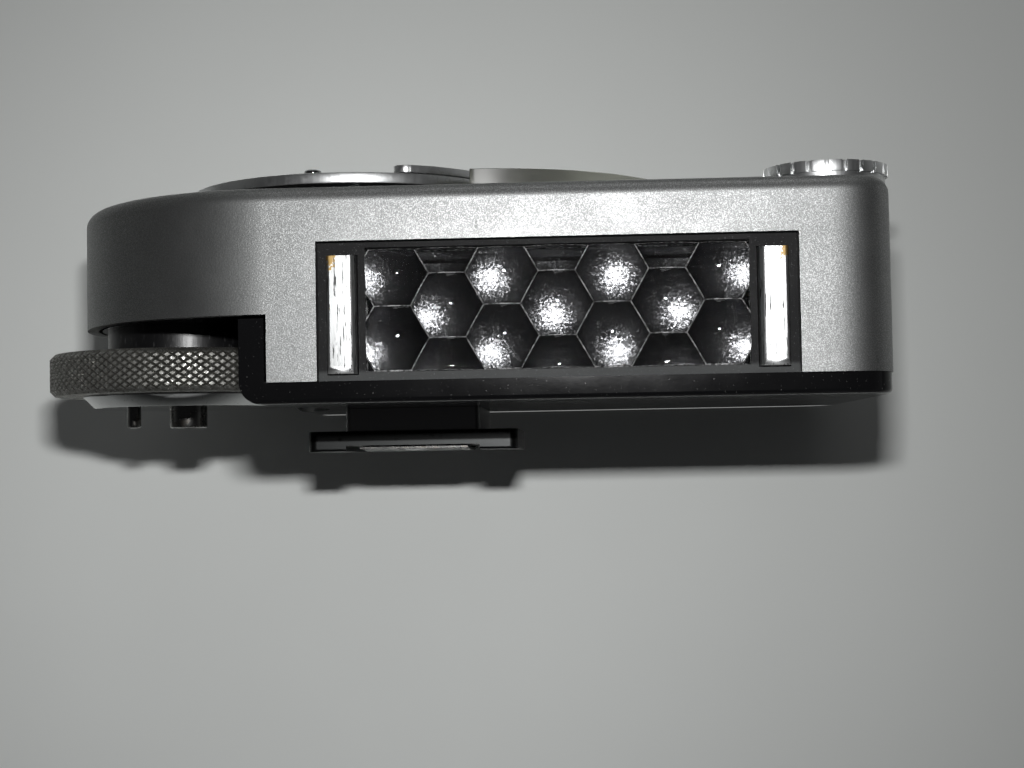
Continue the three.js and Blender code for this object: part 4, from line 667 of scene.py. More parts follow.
def copies(piece, places):
    """A copy of a piece at each place, with its own mesh"""
    made = []
    for place in places:
        hold(piece)
        bpy.ops.object.duplicate()
        bpy.context.object.matrix_world = place
        made.append(bpy.context.object)
    return made


def joined(name, pieces):
    hold(*pieces)
    bpy.ops.object.join()
    return placed(name)


def settle(piece, body, slot, *nodes, finish=None, sharp=32):
    """Smooths a finished piece, gives it its finish and sets it on its body"""
    hold(piece)
    bpy.ops.object.transform_apply(location=True, rotation=True, scale=True)
    smooth(piece, sharp)
    piece.data.materials.clear()
    piece.data.materials.append(finish_named(finish or slot))
    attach(piece, body)
    if nodes:
        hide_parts(*nodes)


def sizes():
    return bpy.context.scene.meter_sizes


def plan_block(name, inset, bottom, top):
    """The housing in plan, a half round nose and two rounded corners, as a solid"""
    block = cube(name, (SHELL_LOW.x + inset, FRONT + inset, bottom), (SHELL_HIGH.x - inset, BACK - inset, top))
    right = SHELL_HIGH.x - inset - 0.01 * MM
    nose = (NOSE - inset) * 0.9999  # a hair under a half circle, so that its two rounds don't meet
    round_edges(block, lambda e: upright(e) and centre_of(e).x < 0, nose, 48)
    round_edges(
        block, lambda e: upright(e) and centre_of(e).x > right, sizes().corner - inset, CORNER_STEPS, CORNER_PROFILE
    )
    shape(block)
    close_up(0.004 * MM)
    return block


def needle_opening():
    """The opening in the roof, through which the needle is seen"""
    low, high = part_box("needle_window")
    radius = high.x - low.x
    cutter = cylinder("roof_opening", (low.x, low.y + radius), radius - 1.6 * MM, *ROOF, FINE)
    trim(cutter, (12.6 * MM, 0, 0), (-1, 0, 0))
    trim(cutter, (0, MIDDLE + 6.7 * MM, 0), (0, 1, 0))
    return cutter


class MESH_OT_meter_housing(bpy.types.Operator):
    """The chromed shell: rounded above, open below, stepped over the wheel, with the cell window cut in front"""

    bl_idname = "mesh.meter_housing"
    bl_label = "Housing"

    def execute(self, context):
        size = sizes()
        shell = plan_block("housing", 0, SHELL_LOW.z, SHELL_HIGH.z)
        round_edges(shell, lambda e: all(near(v.co.z, SHELL_HIGH.z) for v in e.verts), size.edge_round, 8)
        inside = plan_block("housing_room", size.wall, SHELL_LOW.z - PAST, SHELL_HIGH.z - size.wall)
        cut(
            shell,
            inside,
            cube("housing_step", (SHELL_LOW.x - PAST, FRONT - PAST, 0), (STEP, BACK + PAST, NOSE_EDGE)),
            cube(
                "housing_window",
                (WINDOW_LOW.x + WINDOW_LIP, FRONT - PAST, SHELL_LOW.z - PAST),
                (WINDOW_HIGH.x - WINDOW_LIP, FRONT + size.wall + 0.5 * MM, WINDOW_HIGH.z - WINDOW_LIP),
            ),
            cylinder("housing_dial", DIAL, 3.05 * MM, *ROOF),
            cylinder("housing_knob", KNOB, 1.06 * MM, *ROOF),
            needle_opening(),
        )
        soften(shell, 0.07 * MM, 2, 50)
        settle(shell, "case", "satin_chrome", "case_shell")
        return {"FINISHED"}


class MESH_OT_meter_base(bpy.types.Operator):
    """The black moulding that closes the shell, with its stepped wall, wheel pocket and nose floor"""

    bl_idname = "mesh.meter_base"
    bl_label = "Base"

    def execute(self, context):
        size = sizes()
        inset = size.base_inset
        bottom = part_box("base_cover")[0].z
        right = SHELL_HIGH.x - inset
        base = cube("base_moulding", (BASE_LEFT, FRONT + inset, bottom), (right, BACK - inset, NOSE_EDGE - 0.3 * MM))
        round_edges(
            base, lambda e: upright(e) and centre_of(e).x > 0, size.corner - inset, CORNER_STEPS, CORNER_PROFILE
        )
        room = cube("base_room", (STEP - 0.2 * MM, FRONT - PAST, SHELL_LOW.z), (right + PAST, BACK + PAST, 12 * MM))
        cut(base, room)

        def lower(edge):
            return near(centre_of(edge).z, bottom) and not upright(edge)

        def lower_outer(edge):
            faces = edge.link_faces
            return lower(edge) and all(len(f.verts) > 3 for f in faces) and any(f.normal.z > -0.5 for f in faces)

        round_edges(base, lambda e: along(e, "y") and lower(e) and centre_of(e).x < 0, 1.8 * MM, 10)
        round_edges(base, lower_outer, 0.4 * MM, 4)
        floor = plan_block("base_nose_floor", size.wall + 0.3 * MM, NOSE_EDGE, NOSE_EDGE + 1.2 * MM)
        trim(floor, (-6.35 * MM, 0, 0), (1, 0, 0))
        cut(base, cylinder("base_pocket", WHEEL, POCKET_RADIUS, 0, NOSE_EDGE, FINE))
        weld(base, floor)
        wall_low, wall_high = SHELL_LOW.z - 0.3 * MM, NOSE_EDGE + 0.5 * MM
        wall = cylinder("base_pocket_wall", WHEEL, POCKET_RADIUS + 1.1 * MM, wall_low, wall_high, FINE)
        cut(wall, cylinder("base_pocket_inner", WHEEL, POCKET_RADIUS, 0, 20 * MM, FINE))
        trim(wall, (BASE_LEFT + 0.3 * MM, 0, 0), (-1, 0, 0))
        weld(base, wall)
        cutters = [cylinder("base_bearing", WHEEL, 2.75 * MM, 10 * MM, 13 * MM)]
        for number in SCREW_NUMBERS:
            centre, head = stand(f"base_screw_{number}")[:2]
            cutters.append(cylinder("base_screw_seat", centre, 1.62 * MM, head - PAST, head + 0.75 * MM, 48))
        cut(base, *cutters)
        soften(base, FIT, 2, 60)
        settle(base, "case", "black_moulding", "base_cover")
        return {"FINISHED"}


class MESH_OT_meter_screws(bpy.types.Operator):
    """The slotted screws that hold the base to the housing"""

    bl_idname = "mesh.meter_screws"
    bl_label = "Base screws"

    def execute(self, context):
        for number in SCREW_NUMBERS:
            centre, bottom, top = stand(f"base_screw_{number}")
            head = outline(0, bottom, (1.28, 0), (1.45, 0.1), (1.5, 0.25), (1.5, 0.65), (0.7, 0.65))
            screw = turned(f"slotted_screw_{number}", centre, [*head, (0.7 * MM, top)], 48)
            slot = cube("screw_slot", (-2 * MM, -0.2 * MM, bottom - PAST), (2 * MM, 0.2 * MM, bottom + 0.32 * MM))
            turn = Matrix.Rotation(math.radians(25 + 50 * number), 4, "Z")
            slot.matrix_world = Matrix.Translation((*centre, 0)) @ turn
            cut(screw, slot)
            soften(screw, 0.03 * MM, 1, 50)
            settle(screw, "case", "plain_steel", f"base_screw_{number}")
        return {"FINISHED"}


class MESH_OT_meter_foot(bpy.types.Operator):
    """The steel foot for the accessory shoe, and the rivets of its leaf spring"""

    bl_idname = "mesh.meter_foot"
    bl_label = "Shoe foot"

    def execute(self, context):
        low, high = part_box("shoe_foot")
        foot = cube("steel_foot", low, (high.x, high.y, 1.8 * MM))
        round_edges(foot, upright, 0.8 * MM, 6)
        neck = cube("foot_neck", (-6 * MM, -8.7 * MM, 1 * MM), (6 * MM, 8.7 * MM, high.z))
        round_edges(neck, upright, 0.5 * MM, 6)
        weld(foot, neck)
        cut(foot, cube("foot_recess", (-5.9 * MM, low.y - PAST, -PAST), (5.9 * MM, high.y + PAST, 0.5 * MM)))

        def sole(edge):
            middle = centre_of(edge)
            return along(edge, "x") and near(middle.z, low.z) and near(abs(middle.y), high.y, 0.1 * MM)

        round_edges(foot, sole, 0.25 * MM, 6)
        soften(foot, 0.16 * MM, 3, 60)
        settle(foot, "case", "bright_chrome", "shoe_foot", finish="foot_steel")
        for number in (1, 2):
            centre, bottom, top = stand(f"spring_rivet_{number}")
            head = outline(0, bottom, (0.25, 0), (0.55, 0.02), (0.8, 0.06), (0.95, 0.14), (0.45, 0.14))
            rivet = turned(f"rivet_{number}", centre, [*head, (0.45 * MM, top)], 40)
            settle(rivet, "case", "plain_steel", f"spring_rivet_{number}")
        return {"FINISHED"}


class MESH_OT_meter_bezel(bpy.types.Operator):
    """The black bezel of the cell window, slotted for the contact bars"""

    bl_idname = "mesh.meter_bezel"
    bl_label = "Cell bezel"

    def execute(self, context):
        low, high = WINDOW_LOW, WINDOW_HIGH
        gap, overlap = 0.15 * MM, 0.35 * MM
        bezel = cube(
            "window_bezel",
            (low.x + WINDOW_LIP + gap, low.y, low.z),
            (high.x - WINDOW_LIP - gap, high.y, high.z - WINDOW_LIP - gap),
        )
        weld(bezel, cube("bezel_flange", (low.x, FRONT + sizes().wall + FIT, low.z), high))
        cutters = [
            cube(
                "bezel_room",
                (LENS_LOW.x - side, front, LENS_LOW.z + sill - FIT),
                (LENS_HIGH.x + side, high.y + PAST, LENS_HIGH.z + FIT),
            )
            for side, front, sill in (
                (-overlap, low.y - PAST, LENS_SILL),
                (FIT, LENS_LOW.y - FIT, LENS_SILL),
                (FIT, LENS_HIGH.y - 0.75 * MM, 0),
            )
        ]
        play = 0.06 * MM
        for side in SIDES:
            bar_low, bar_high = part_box(f"contact_bar_{side}")
            cutters.append(cube(
                "bezel_slot",
                (bar_low.x - play, low.y - PAST, bar_low.z - play),
                (bar_high.x + play, high.y + PAST, bar_high.z + play),
            ))
        cut(bezel, *cutters)
        soften(bezel, 0.06 * MM, 2, 60)
        settle(bezel, "case", "black_moulding", "cell_bezel", finish="black_satin")
        return {"FINISHED"}


class MESH_OT_meter_contact_bars(bpy.types.Operator):
    """The two upright contact bars at the ends of the cell window"""

    bl_idname = "mesh.meter_contact_bars"
    bl_label = "Contact bars"

    def execute(self, context):
        for side in SIDES:
            low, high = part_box(f"contact_bar_{side}")
            inner, outer = (high.x, low.x) if side == "left" else (low.x, high.x)
            bar = cube(f"contact_{side}", low, high)
            for x, radius in ((inner, 0.69 * MM), (outer, 0.29 * MM)):
                round_edges(
                    bar, lambda e: near(centre_of(e).y, low.y) and near(centre_of(e).x, x) and upright(e), radius, 8
                )
            trim(bar, (0, low.y, low.z + 0.6 * MM), (0, -0.97, -0.24))
            soften(bar, 0.08 * MM, 3, 50)
            settle(bar, "case", "bright_chrome", f"contact_bar_{side}", finish="bar_chrome")
        return {"FINISHED"}


class MESH_OT_meter_lens_plate(bpy.types.Operator):
    """The honeycomb plate: one spherical dome, trimmed to six sides and set out in staggered columns"""

    bl_idname = "mesh.meter_lens_plate"
    bl_label = "Lens plate"

    def execute(self, context):
        size = sizes()
        low, high = LENS_LOW, LENS_HIGH
        bottom, top = low.z + LENS_SILL, high.z - 0.02 * MM
        x, z = (low.x + high.x) / 2, (low.z + high.z) / 2 + size.lens_rise
        half = size.lens_pitch_z / 2
        clear()
        bpy.ops.mesh.primitive_uv_sphere_add(
            segments=48, ring_count=96, radius=size.lens_radius, rotation=(math.pi / 2, 0, 0)
        )
        dome = placed("dome")
        for side in range(6):
            angle = math.pi / 6 + side * math.pi / 3
            normal = Vector((math.cos(angle), 0, math.sin(angle)))
            trim(dome, normal * half, normal, fill=False)
        trim(dome, (0, 0, 0), (0, 1, 0), fill=False)
        shape(dome)
        bpy.ops.transform.resize(
            value=(size.lens_pitch_x / (half * math.sqrt(3)), 1, 1), center_override=(0, 0, 0)
        )
        bpy.ops.transform.translate(value=(x, low.y + size.lens_radius, z))
        clear()
        columns = math.ceil((high.x - low.x) / 2 / size.lens_pitch_x)
        places = []
        for column in range(-columns, columns + 1):
            for row in (-1.5, -0.5, 0.5, 1.5) if column % 2 else (-1, 0, 1):
                places.append(Matrix.Translation((column * size.lens_pitch_x, 0, row * size.lens_pitch_z)))
        domes = copies(dome, places)
        remove(dome)
        plate = joined("honeycomb_plate", domes)
        shape(plate)
        bpy.ops.mesh.remove_doubles(threshold=0.002 * MM)
        clear()
        for place, outward in (
            ((low.x, 0, 0), (-1, 0, 0)), ((high.x, 0, 0), (1, 0, 0)),
            ((0, 0, bottom), (0, 0, -1)), ((0, 0, top), (0, 0, 1)),
        ):
            trim(plate, place, outward, fill=False)
        shape(plate)
        bpy.ops.mesh.normals_make_consistent(inside=False)
        pick("EDGE", lambda edge: len(edge.link_faces) == 1)
        bpy.ops.mesh.extrude_edges_move(TRANSFORM_OT_translate={"value": (0, 1 * MM, 0)})
        bpy.ops.transform.resize(value=(1, 0, 1), center_override=(0, high.y, 0))
        bpy.ops.mesh.edge_face_add()
        close_up()
        settle(plate, "case", "lens_glass", "lens_plate")
        # The valley bevels take the groove finish, whose pale grey is painted highlight and dust
        plate.data.materials.append(finish_named("lens_groove"))
        modify(
            plate, "BEVEL", width=0.05 * MM, segments=2, limit_method="ANGLE", angle_limit=math.radians(45),
            material=1, use_clamp_overlap=False,
        )
        smooth(plate, 40)
        plate.visible_shadow = False
        return {"FINISHED"}


class MESH_OT_meter_wheel(bpy.types.Operator):
    """The knurled coupling wheel: one flat-topped diamond, copied round the rim and up it"""

    bl_idname = "mesh.meter_wheel"
    bl_label = "Coupling wheel"

    def execute(self, context):
        size = sizes()
        low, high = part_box("coupling_wheel")
        radius = high.y - WHEEL[1]
        floor = radius - size.knurl_depth
        count, rows = size.knurl_count, size.knurl_rows
        half_angle = math.pi / count
        pitch = (high.z - low.z) / rows
        start = (WHEEL[0], WHEEL[1] - floor * math.cos(half_angle), low.z)
        clear()
        bpy.ops.mesh.primitive_circle_add(
            vertices=4, radius=1, fill_type="NGON", location=start, rotation=(math.pi / 2, 0, 0)
        )
        rim = placed("knurled_wheel")
        shape(rim)
        bpy.ops.transform.resize(value=(floor * math.sin(half_angle), 1, pitch / 2), center_override=start)
        pick("VERT", lambda vert: not near(vert.co.z, low.z, 0.01 * MM))
        bpy.ops.transform.translate(value=(0, -floor * (1 - math.cos(half_angle)), 0))
        pick("FACE", lambda face: True)
        bpy.ops.mesh.inset(thickness=0.12 * MM, depth=0)
        bpy.ops.transform.translate(value=(0, -size.knurl_depth, 0))
        bpy.ops.mesh.select_all(action="SELECT")
        bpy.ops.mesh.spin(
            steps=count, dupli=True, angle=2 * math.pi, center=(*WHEEL, 0), axis=(0, 0, 1), use_normal_flip=False
        )
        centre = Matrix.Translation((*WHEEL, 0))
        places = [
            Matrix.Translation((0, 0, pitch / 2 * step)) @ centre
            @ Matrix.Rotation(half_angle * (step % 2), 4, "Z") @ centre.inverted()
            for step in range(1, 2 * rows + 1)
        ]
        rim = joined("knurled_wheel", [rim, *copies(rim, places)])
        shape(rim)
        bpy.ops.mesh.remove_doubles(threshold=0.01 * MM)
        middle = (low.z + high.z) / 2
        for side, end in ((-1, low.z - 1.5 * MM), (1, high.z + 1.5 * MM)):
            pick("EDGE", lambda e: len(e.link_faces) == 1 and (centre_of(e).z - middle) * side > 0)
            bpy.ops.mesh.extrude_edges_move(TRANSFORM_OT_translate={"value": (0, 0, side * 0.5 * MM)})
            bpy.ops.transform.resize(value=(1, 1, 0), center_override=(*WHEEL, end))
            bpy.ops.mesh.edge_face_add()
        close_up()
        bore, inner, web, chamfer = WHEEL_BORE, 7.2 * MM, low.z + 1.3 * MM, 0.42 * MM
        profile = [
            (bore, low.z), (radius - chamfer, low.z), (radius, low.z + chamfer), (radius, high.z - chamfer),
            (radius - chamfer, high.z), (inner, high.z), (inner, web), (bore, web), (bore, low.z),
        ]
        cut(rim, turned("wheel_body", WHEEL, profile, FINEST), operation="INTERSECT")
        settle(rim, "wheel", "knurled_chrome", "coupling_wheel", sharp=20)
        return {"FINISHED"}


class MESH_OT_meter_lift_spring(bpy.types.Operator):
    """The spring that presses the wheel down, at the one length it has in the frame; the real one flattens as the
    wheel lifts
    """

    bl_idname = "mesh.meter_lift_spring"
    bl_label = "Lift spring"

    def execute(self, context):
        low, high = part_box("lift_spring")
        wire, turns = 0.5 * MM, 3
        radius, length = (high.x - low.x - wire) / 2, high.z - low.z
        clear()
        bpy.ops.mesh.primitive_circle_add(
            vertices=16, radius=wire / 2, location=(radius, 0, 0), rotation=(math.pi / 2, 0, 0)
        )
        spring = placed("wheel_spring")
        modify(spring, "SCREW", steps=64, render_steps=64, iterations=turns, screw_offset=(length - wire) / turns)
        shape(spring)
        bpy.ops.mesh.fill_holes(sides=0)
        bpy.ops.transform.translate(value=(*WHEEL, low.z + wire / 2))
        close_up()
        settle(spring, "case", "plain_steel", "lift_spring")
        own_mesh(spring)
        return {"FINISHED"}


class MESH_OT_meter_coupling(bpy.types.Operator):
    """What stands under the wheel, and what surrounds it above: bevelled disc, pin, hollow hub and collar"""

    bl_idname = "mesh.meter_coupling"
    bl_label = "Coupling disc, pin, hub and collar"

    def execute(self, context):
        low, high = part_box("coupling_disc")
        bore, top_radius, bottom_radius = WHEEL_BORE, high.x - WHEEL[0], 8.15 * MM
        profile = [
            (bore, low.z),
            *outline(bottom_radius, low.z, (-0.06, 0), (0.03, 0.05)),
            *outline(top_radius, high.z, (-0.02, -0.15), (0, -0.1), (0, 0)),
            (bore, high.z),
            (bore, low.z),
        ]
        disc = turned("bevelled_disc", WHEEL, profile, FINE)
        settle(disc, "wheel", "bright_chrome", "coupling_disc", sharp=20)
        centre, bottom, top = stand("coupling_pin")
        head = outline(0, bottom, (0.3, 0), (0.46, 0.04), (0.56, 0.12), (0.6, 0.25))
        pin = turned("drive_pin", centre, [*head, (0.6 * MM, top)], 40)
        settle(pin, "wheel", "plain_steel", "coupling_pin", finish="dark_steel")
        low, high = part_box("coupling_hub")
        head = outline(0, low.z, (0.9, 0.75), (0.95, 0.1), (1.05, 0), (1.5, 0), (1.62, 0.06), (1.65, 0.2))
        hub = turned("hub_nut", WHEEL, [*head, (1.65 * MM, high.z)], 64)
        settle(hub, "wheel", "plain_steel", "coupling_hub", finish="dark_steel")
        low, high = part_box("wheel_collar")
        outer = high.x - WHEEL[0]
        profile = [
            *outline(outer, low.z, (-0.9, 0), (-0.1, 0), (0, 0.1)),
            *outline(outer, high.z, (0, 0), (-0.9, 0)),
            *outline(outer, low.z, (-0.9, 0)),
        ]
        collar = turned("collar_tube", WHEEL, profile, FINE)
        settle(collar, "case", "satin_chrome", "wheel_collar", finish="black_enamel")
        return {"FINISHED"}


class MESH_OT_meter_dial(bpy.types.Operator):
    """The dial on the top: outer ring, finger stud, inner disc and middle screw"""

    bl_idname = "mesh.meter_dial"
    bl_label = "Dial"

    def execute(self, context):
        bottom, top = RING_LOW.z, RING_HIGH.z
        rim, inner, web = DIAL_RADIUS - 1.8 * MM, DIAL_RADIUS - 4.9 * MM, top - 0.5 * MM
        profile = [
            (rim, bottom),
            *outline(DIAL_RADIUS, bottom, (-0.14, 0), (-0.03, 0.04), (0, 0.14)),
            *outline(DIAL_RADIUS, top, (0, -0.14), (-0.03, -0.04), (-0.14, 0)),
            *outline(inner, top, (0.05, 0), (0, -0.05)),
            (inner, web),
            (rim, web),
            (rim, bottom),
        ]
        ring = turned("outer_ring", DIAL, profile, FINE)
        settle(ring, "film_ring", "satin_chrome", "dial_ring", finish="turned_chrome", sharp=40)
        centre, stud_low, stud_high = stand("dial_stud")
        profile = [
            (0.4 * MM, stud_low),
            *outline(0, top, (0.4, 0.12), (0.68, 0.2), (0.75, 0.36)),
            *outline(0, stud_high, (0.7, -0.12), (0.5, -0.02), (0.3, 0)),
        ]
        stud = turned("finger_stud", centre, profile, 48)
        settle(stud, "film_ring", "bright_chrome", "dial_stud", sharp=50)
        low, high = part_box("speed_disc")
        bore, edge, flange = 1 * MM, 9 * MM, high.x - DIAL[0]
        profile = [
            (bore, low.z),
            *outline(flange, low.z, (0, 0), (0, 0.32)),
            *outline(edge, low.z, (0, 0.32)),
            *outline(edge, high.z, (0, -0.12), (-0.04, -0.04), (-0.12, 0)),
            *outline(0, high.z, (4.6, 0), (4.5, -0.08), (4.2, -0.08), (4.1, 0)),
            (bore, high.z),
            (bore, low.z),
        ]
        disc = turned("inner_disc", DIAL, profile, FINE)
        settle(disc, "speed_dial", "satin_chrome", "speed_disc", sharp=30)
        low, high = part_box("dial_screw")
        profile = [
            (0.85 * MM, low.z),
            *outline(0, high.z - 0.7 * MM, (0.85, 0), (2.05, 0), (2.1, 0.08)),
            *outline(0, high.z, (2.1, -0.25), (1.98, -0.1), (1.7, 0)),
        ]
        screw = turned("middle_screw", DIAL, profile, 64)
        reach, half_slot = 3 * MM, 0.25 * MM
        slot = cube(
            "middle_slot",
            (DIAL[0] - reach, DIAL[1] - half_slot, high.z - 0.35 * MM),
            (DIAL[0] + reach, DIAL[1] + half_slot, high.z + PAST),
        )
        cut(screw, slot)
        settle(screw, "speed_dial", "bright_chrome", "dial_screw")
        return {"FINISHED"}


def band(name, inner, outer, bottom, top, start, end):
    """A part of a flat ring round the dial's axis, between two angles"""
    ring = turned(name, DIAL, [(inner, bottom), (outer, bottom), (outer, top), (inner, top), (inner, bottom)], FINEST)
    trim(ring, (*DIAL, 0), (math.sin(start), -math.cos(start), 0))
    trim(ring, (*DIAL, 0), (-math.sin(end), math.cos(end), 0))
    return ring


def around(centre, orbit, angle):
    return centre[0] + orbit * math.cos(angle), centre[1] + orbit * math.sin(angle)


class MESH_OT_meter_index_plate(bpy.types.Operator):
    """The bright tongue over the outer ring, pinned to the needle window"""

    bl_idname = "mesh.meter_index_plate"
    bl_label = "Index plate"

    def execute(self, context):
        low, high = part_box("index_plate")
        outer = DIAL_RADIUS - 0.1 * MM
        bottom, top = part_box("needle_window")[1].z, high.z
        hair = 0.001 * MM
        start = -1.116
        tongue = band("index_tongue", outer - 2 * MM, outer, bottom, top, start, -0.14)
        tip = Vector((math.cos(start), math.sin(start))) * (outer - 1 * MM) + Vector(DIAL)
        weld(tongue, cylinder("index_tip", tip, 0.999 * MM, bottom + hair, top - hair, 64))
        weld(tongue, band("index_arm", outer - 1 * MM, DIAL_RADIUS + 2.5 * MM, bottom, top - hair, -0.45, -0.141))
        soften(tongue, 0.09 * MM, 2, 50)
        for angle in (-0.38, -0.2):
            head = outline(0, top, (0.5, -0.1), (0.62, -0.1), (0.62, 0.03), (0.5, 0.1), (0.25, 0.14))
            centre = around(DIAL, DIAL_RADIUS + 1.55 * MM, angle)
            weld(tongue, turned("index_rivet", centre, [(0.5 * MM, low.z), *head], 40))
        settle(tongue, "case", "bright_chrome", "index_plate", finish="turned_chrome")
        return {"FINISHED"}


class MESH_OT_meter_needle_window(bpy.types.Operator):
    """The clear cover over the needle, hollowed round the dial"""

    bl_idname = "mesh.meter_needle_window"
    bl_label = "Needle window"

    def execute(self, context):
        low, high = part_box("needle_window")
        radius = high.x - low.x
        centre = (low.x, low.y + radius)
        hollow = DIAL_RADIUS + 0.6 * MM
        cover = cylinder("clear_cover", centre, radius, low.z, high.z, FINEST)
        cut(cover, cylinder("cover_hollow", DIAL, hollow, low.z - PAST, high.z + PAST, FINEST))
        trim(cover, (low.x, 0, 0), (-1, 0, 0))
        first, second = (Vector((*around(*end), 0)) for end in ((centre, radius, 0.34), (DIAL, hollow, 0.52)))
        run = second - first
        trim(cover, first, Vector((run.y, -run.x, 0)))
        soften(cover, 0.25 * MM, 4, 50)
        settle(cover, "case", "clear_window", "needle_window")
        return {"FINISHED"}


class MESH_OT_meter_range_knob(bpy.types.Operator):
    """The toothed knob of the range switch"""

    bl_idname = "mesh.meter_range_knob"
    bl_label = "Range knob"

    def execute(self, context):
        size = sizes()
        low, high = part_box("range_knob")
        bottom = low.z + 0.55 * MM
        teeth = size.knob_teeth
        knob = cylinder("toothed_knob", KNOB, high.x - KNOB[0] - size.knob_notch, bottom, high.z, teeth * 8)

        def on_tooth(face):
            place = face.calc_center_median() - Vector((*KNOB, 0))
            share = ((math.atan2(place.y, place.x) + 0.1) / (2 * math.pi) * teeth) % 1
            return abs(face.normal.z) < 0.5 and not 0.37 <= share <= 0.63

        shape(knob)
        pick("FACE", on_tooth)
        bpy.ops.mesh.extrude_region_shrink_fatten(TRANSFORM_OT_shrink_fatten={"value": size.knob_notch})
        clear()
        soften(knob, 0.13 * MM, 3, 40)
        weld(knob, cylinder("knob_collar", KNOB, 4.9 * MM, low.z, bottom + 0.2 * MM))
        cut(knob, cylinder("knob_dish", KNOB, 3.2 * MM, high.z - 0.2 * MM, high.z + PAST))
        settle(knob, "knob", "bright_chrome", "range_knob", finish="turned_chrome")
        return {"FINISHED"}


MARK_DEPTH = 0.008 * MM
TICK_WIDTH = 0.12 * MM


def numbers(name, words, centre, orbit, height, top, start, step):
    """Plain numbers set round a centre, read from outside"""
    made = []
    for index, word in enumerate(words):
        angle = start + step * index
        clear()
        bpy.ops.object.text_add(location=(*around(centre, orbit, angle), top), rotation=(0, 0, angle - math.pi / 2))
        text = bpy.context.object
        text.data.body = word
        text.data.size = height
        text.data.align_x, text.data.align_y = "CENTER", "CENTER"
        text.data.extrude = MARK_DEPTH
        bpy.ops.object.convert(target="MESH")
        made.append(bpy.context.object)
    return joined(name, made)


def ticks(name, count, centre, inner, outer, top, start, step):
    """Short lines set round a centre"""
    half = TICK_WIDTH / 2
    made = []
    for index in range(count):
        line = cube("tick", (inner, -half, top - MARK_DEPTH), (outer, half, top + MARK_DEPTH))
        line.matrix_world = Matrix.Translation((*centre, 0)) @ Matrix.Rotation(start + step * index, 4, "Z")
        made.append(line)
    return joined(name, made)


class MESH_OT_meter_marks(bpy.types.Operator):
    """Plain numbers and lines on the dial, its ring and the scale"""

    bl_idname = "mesh.meter_marks"
    bl_label = "Numbers"

    def execute(self, context):
        speeds = ["1", "2", "4", "8", "15", "30", "60", "125", "250", "500", "1000"]
        films = ["6", "12", "25", "50", "100", "200", "400", "800"]
        stops = ["1.4", "2", "2.8", "4", "5.6", "8", "11", "16", "22"]
        disc_top, ring_top, scale_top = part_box("speed_disc")[1].z, RING_HIGH.z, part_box("scale_plate")[1].z
        speed_start, film_start, scale_start = -2.6, 0.2, math.pi * 1.06
        for body, slot, *marks in (
            (
                "speed_dial", "satin_chrome",
                numbers("speed_numbers", speeds, DIAL, 7.3 * MM, 1.5 * MM, disc_top, speed_start, 0.42),
                ticks("speed_lines", 11, DIAL, 8.3 * MM, 8.85 * MM, disc_top, speed_start, 0.42),
            ),
            (
                "film_ring", "satin_chrome",
                numbers("film_numbers", films, DIAL, 12.4 * MM, 1.4 * MM, ring_top, film_start, 0.42),
                ticks("film_lines", 22, DIAL, 9.45 * MM, 10.1 * MM, ring_top, film_start, 0.14),
            ),
            (
                "case", "scale_paint",
                numbers("scale_numbers", stops, NEEDLE, 12.4 * MM, 1.3 * MM, scale_top, scale_start, 0.09),
                ticks("scale_lines", 17, NEEDLE, 10.2 * MM, 11.3 * MM, scale_top, scale_start, 0.045),
            ),
        ):
            for piece in marks:
                settle(piece, body, slot, finish="mark_ink")
        return {"FINISHED"}


class OBJECT_OT_meter_inner_finishes(bpy.types.Operator):
    """Gives every piece of the frame that stays in view its own finish"""

    bl_idname = "object.meter_inner_finishes"
    bl_label = "Inner pieces"

    def execute(self, context):
        slots = {row["node"]: row["material_slot"] for row in frame["record"]["subparts"]}
        # Painted shade: the cell's strips take the black moulding and the shoe spring the darker steel, so they read
        # as in shade
        painted_shade_finishes = {"cell_strip_left": "black_moulding", "cell_strip_right": "black_moulding", "shoe_spring": "dark_steel"}
        for name, node in frame["nodes"].items():
            node.data.materials.clear()
            node.data.materials.append(finish_named(painted_shade_finishes.get(name, slots[name])))
        return {"FINISHED"}


AIM = (6 * MM, FRONT, 11 * MM)
LAMPS = {  # place, width, height and power of each
    "front_lamp": ((15.7 * MM, -0.16, 0.027), 0.014, 0.005, 0.152),
    "top_lamp": ((0.05, -0.12, 0.6), 0.3, 0.3, 0.3),
    "under_lamp": ((0.1, 0.1, -0.6), 0.5, 0.5, 0.1),
    "back_lamp": ((0.1, 0.6, 0.25), 0.4, 0.4, 1.2),
    "side_lamp": ((0.6, 0.2, 0.2), 0.3, 0.3, 0.25),
}
CAMERA_PLACE = (0.0147005, -0.1631504, -0.0007783)
CAMERA_RIGHT = Vector((0.99909, 0.03853, -0.01826))
CAMERA_UP = Vector((0.01984, -0.04118, 0.99895))
CAMERA_AHEAD = Vector((-0.03774, 0.99841, 0.04191))
SENSOR_WIDTH = 36
FOCAL_PIXELS, FRAME_PIXELS = 1750, 1024


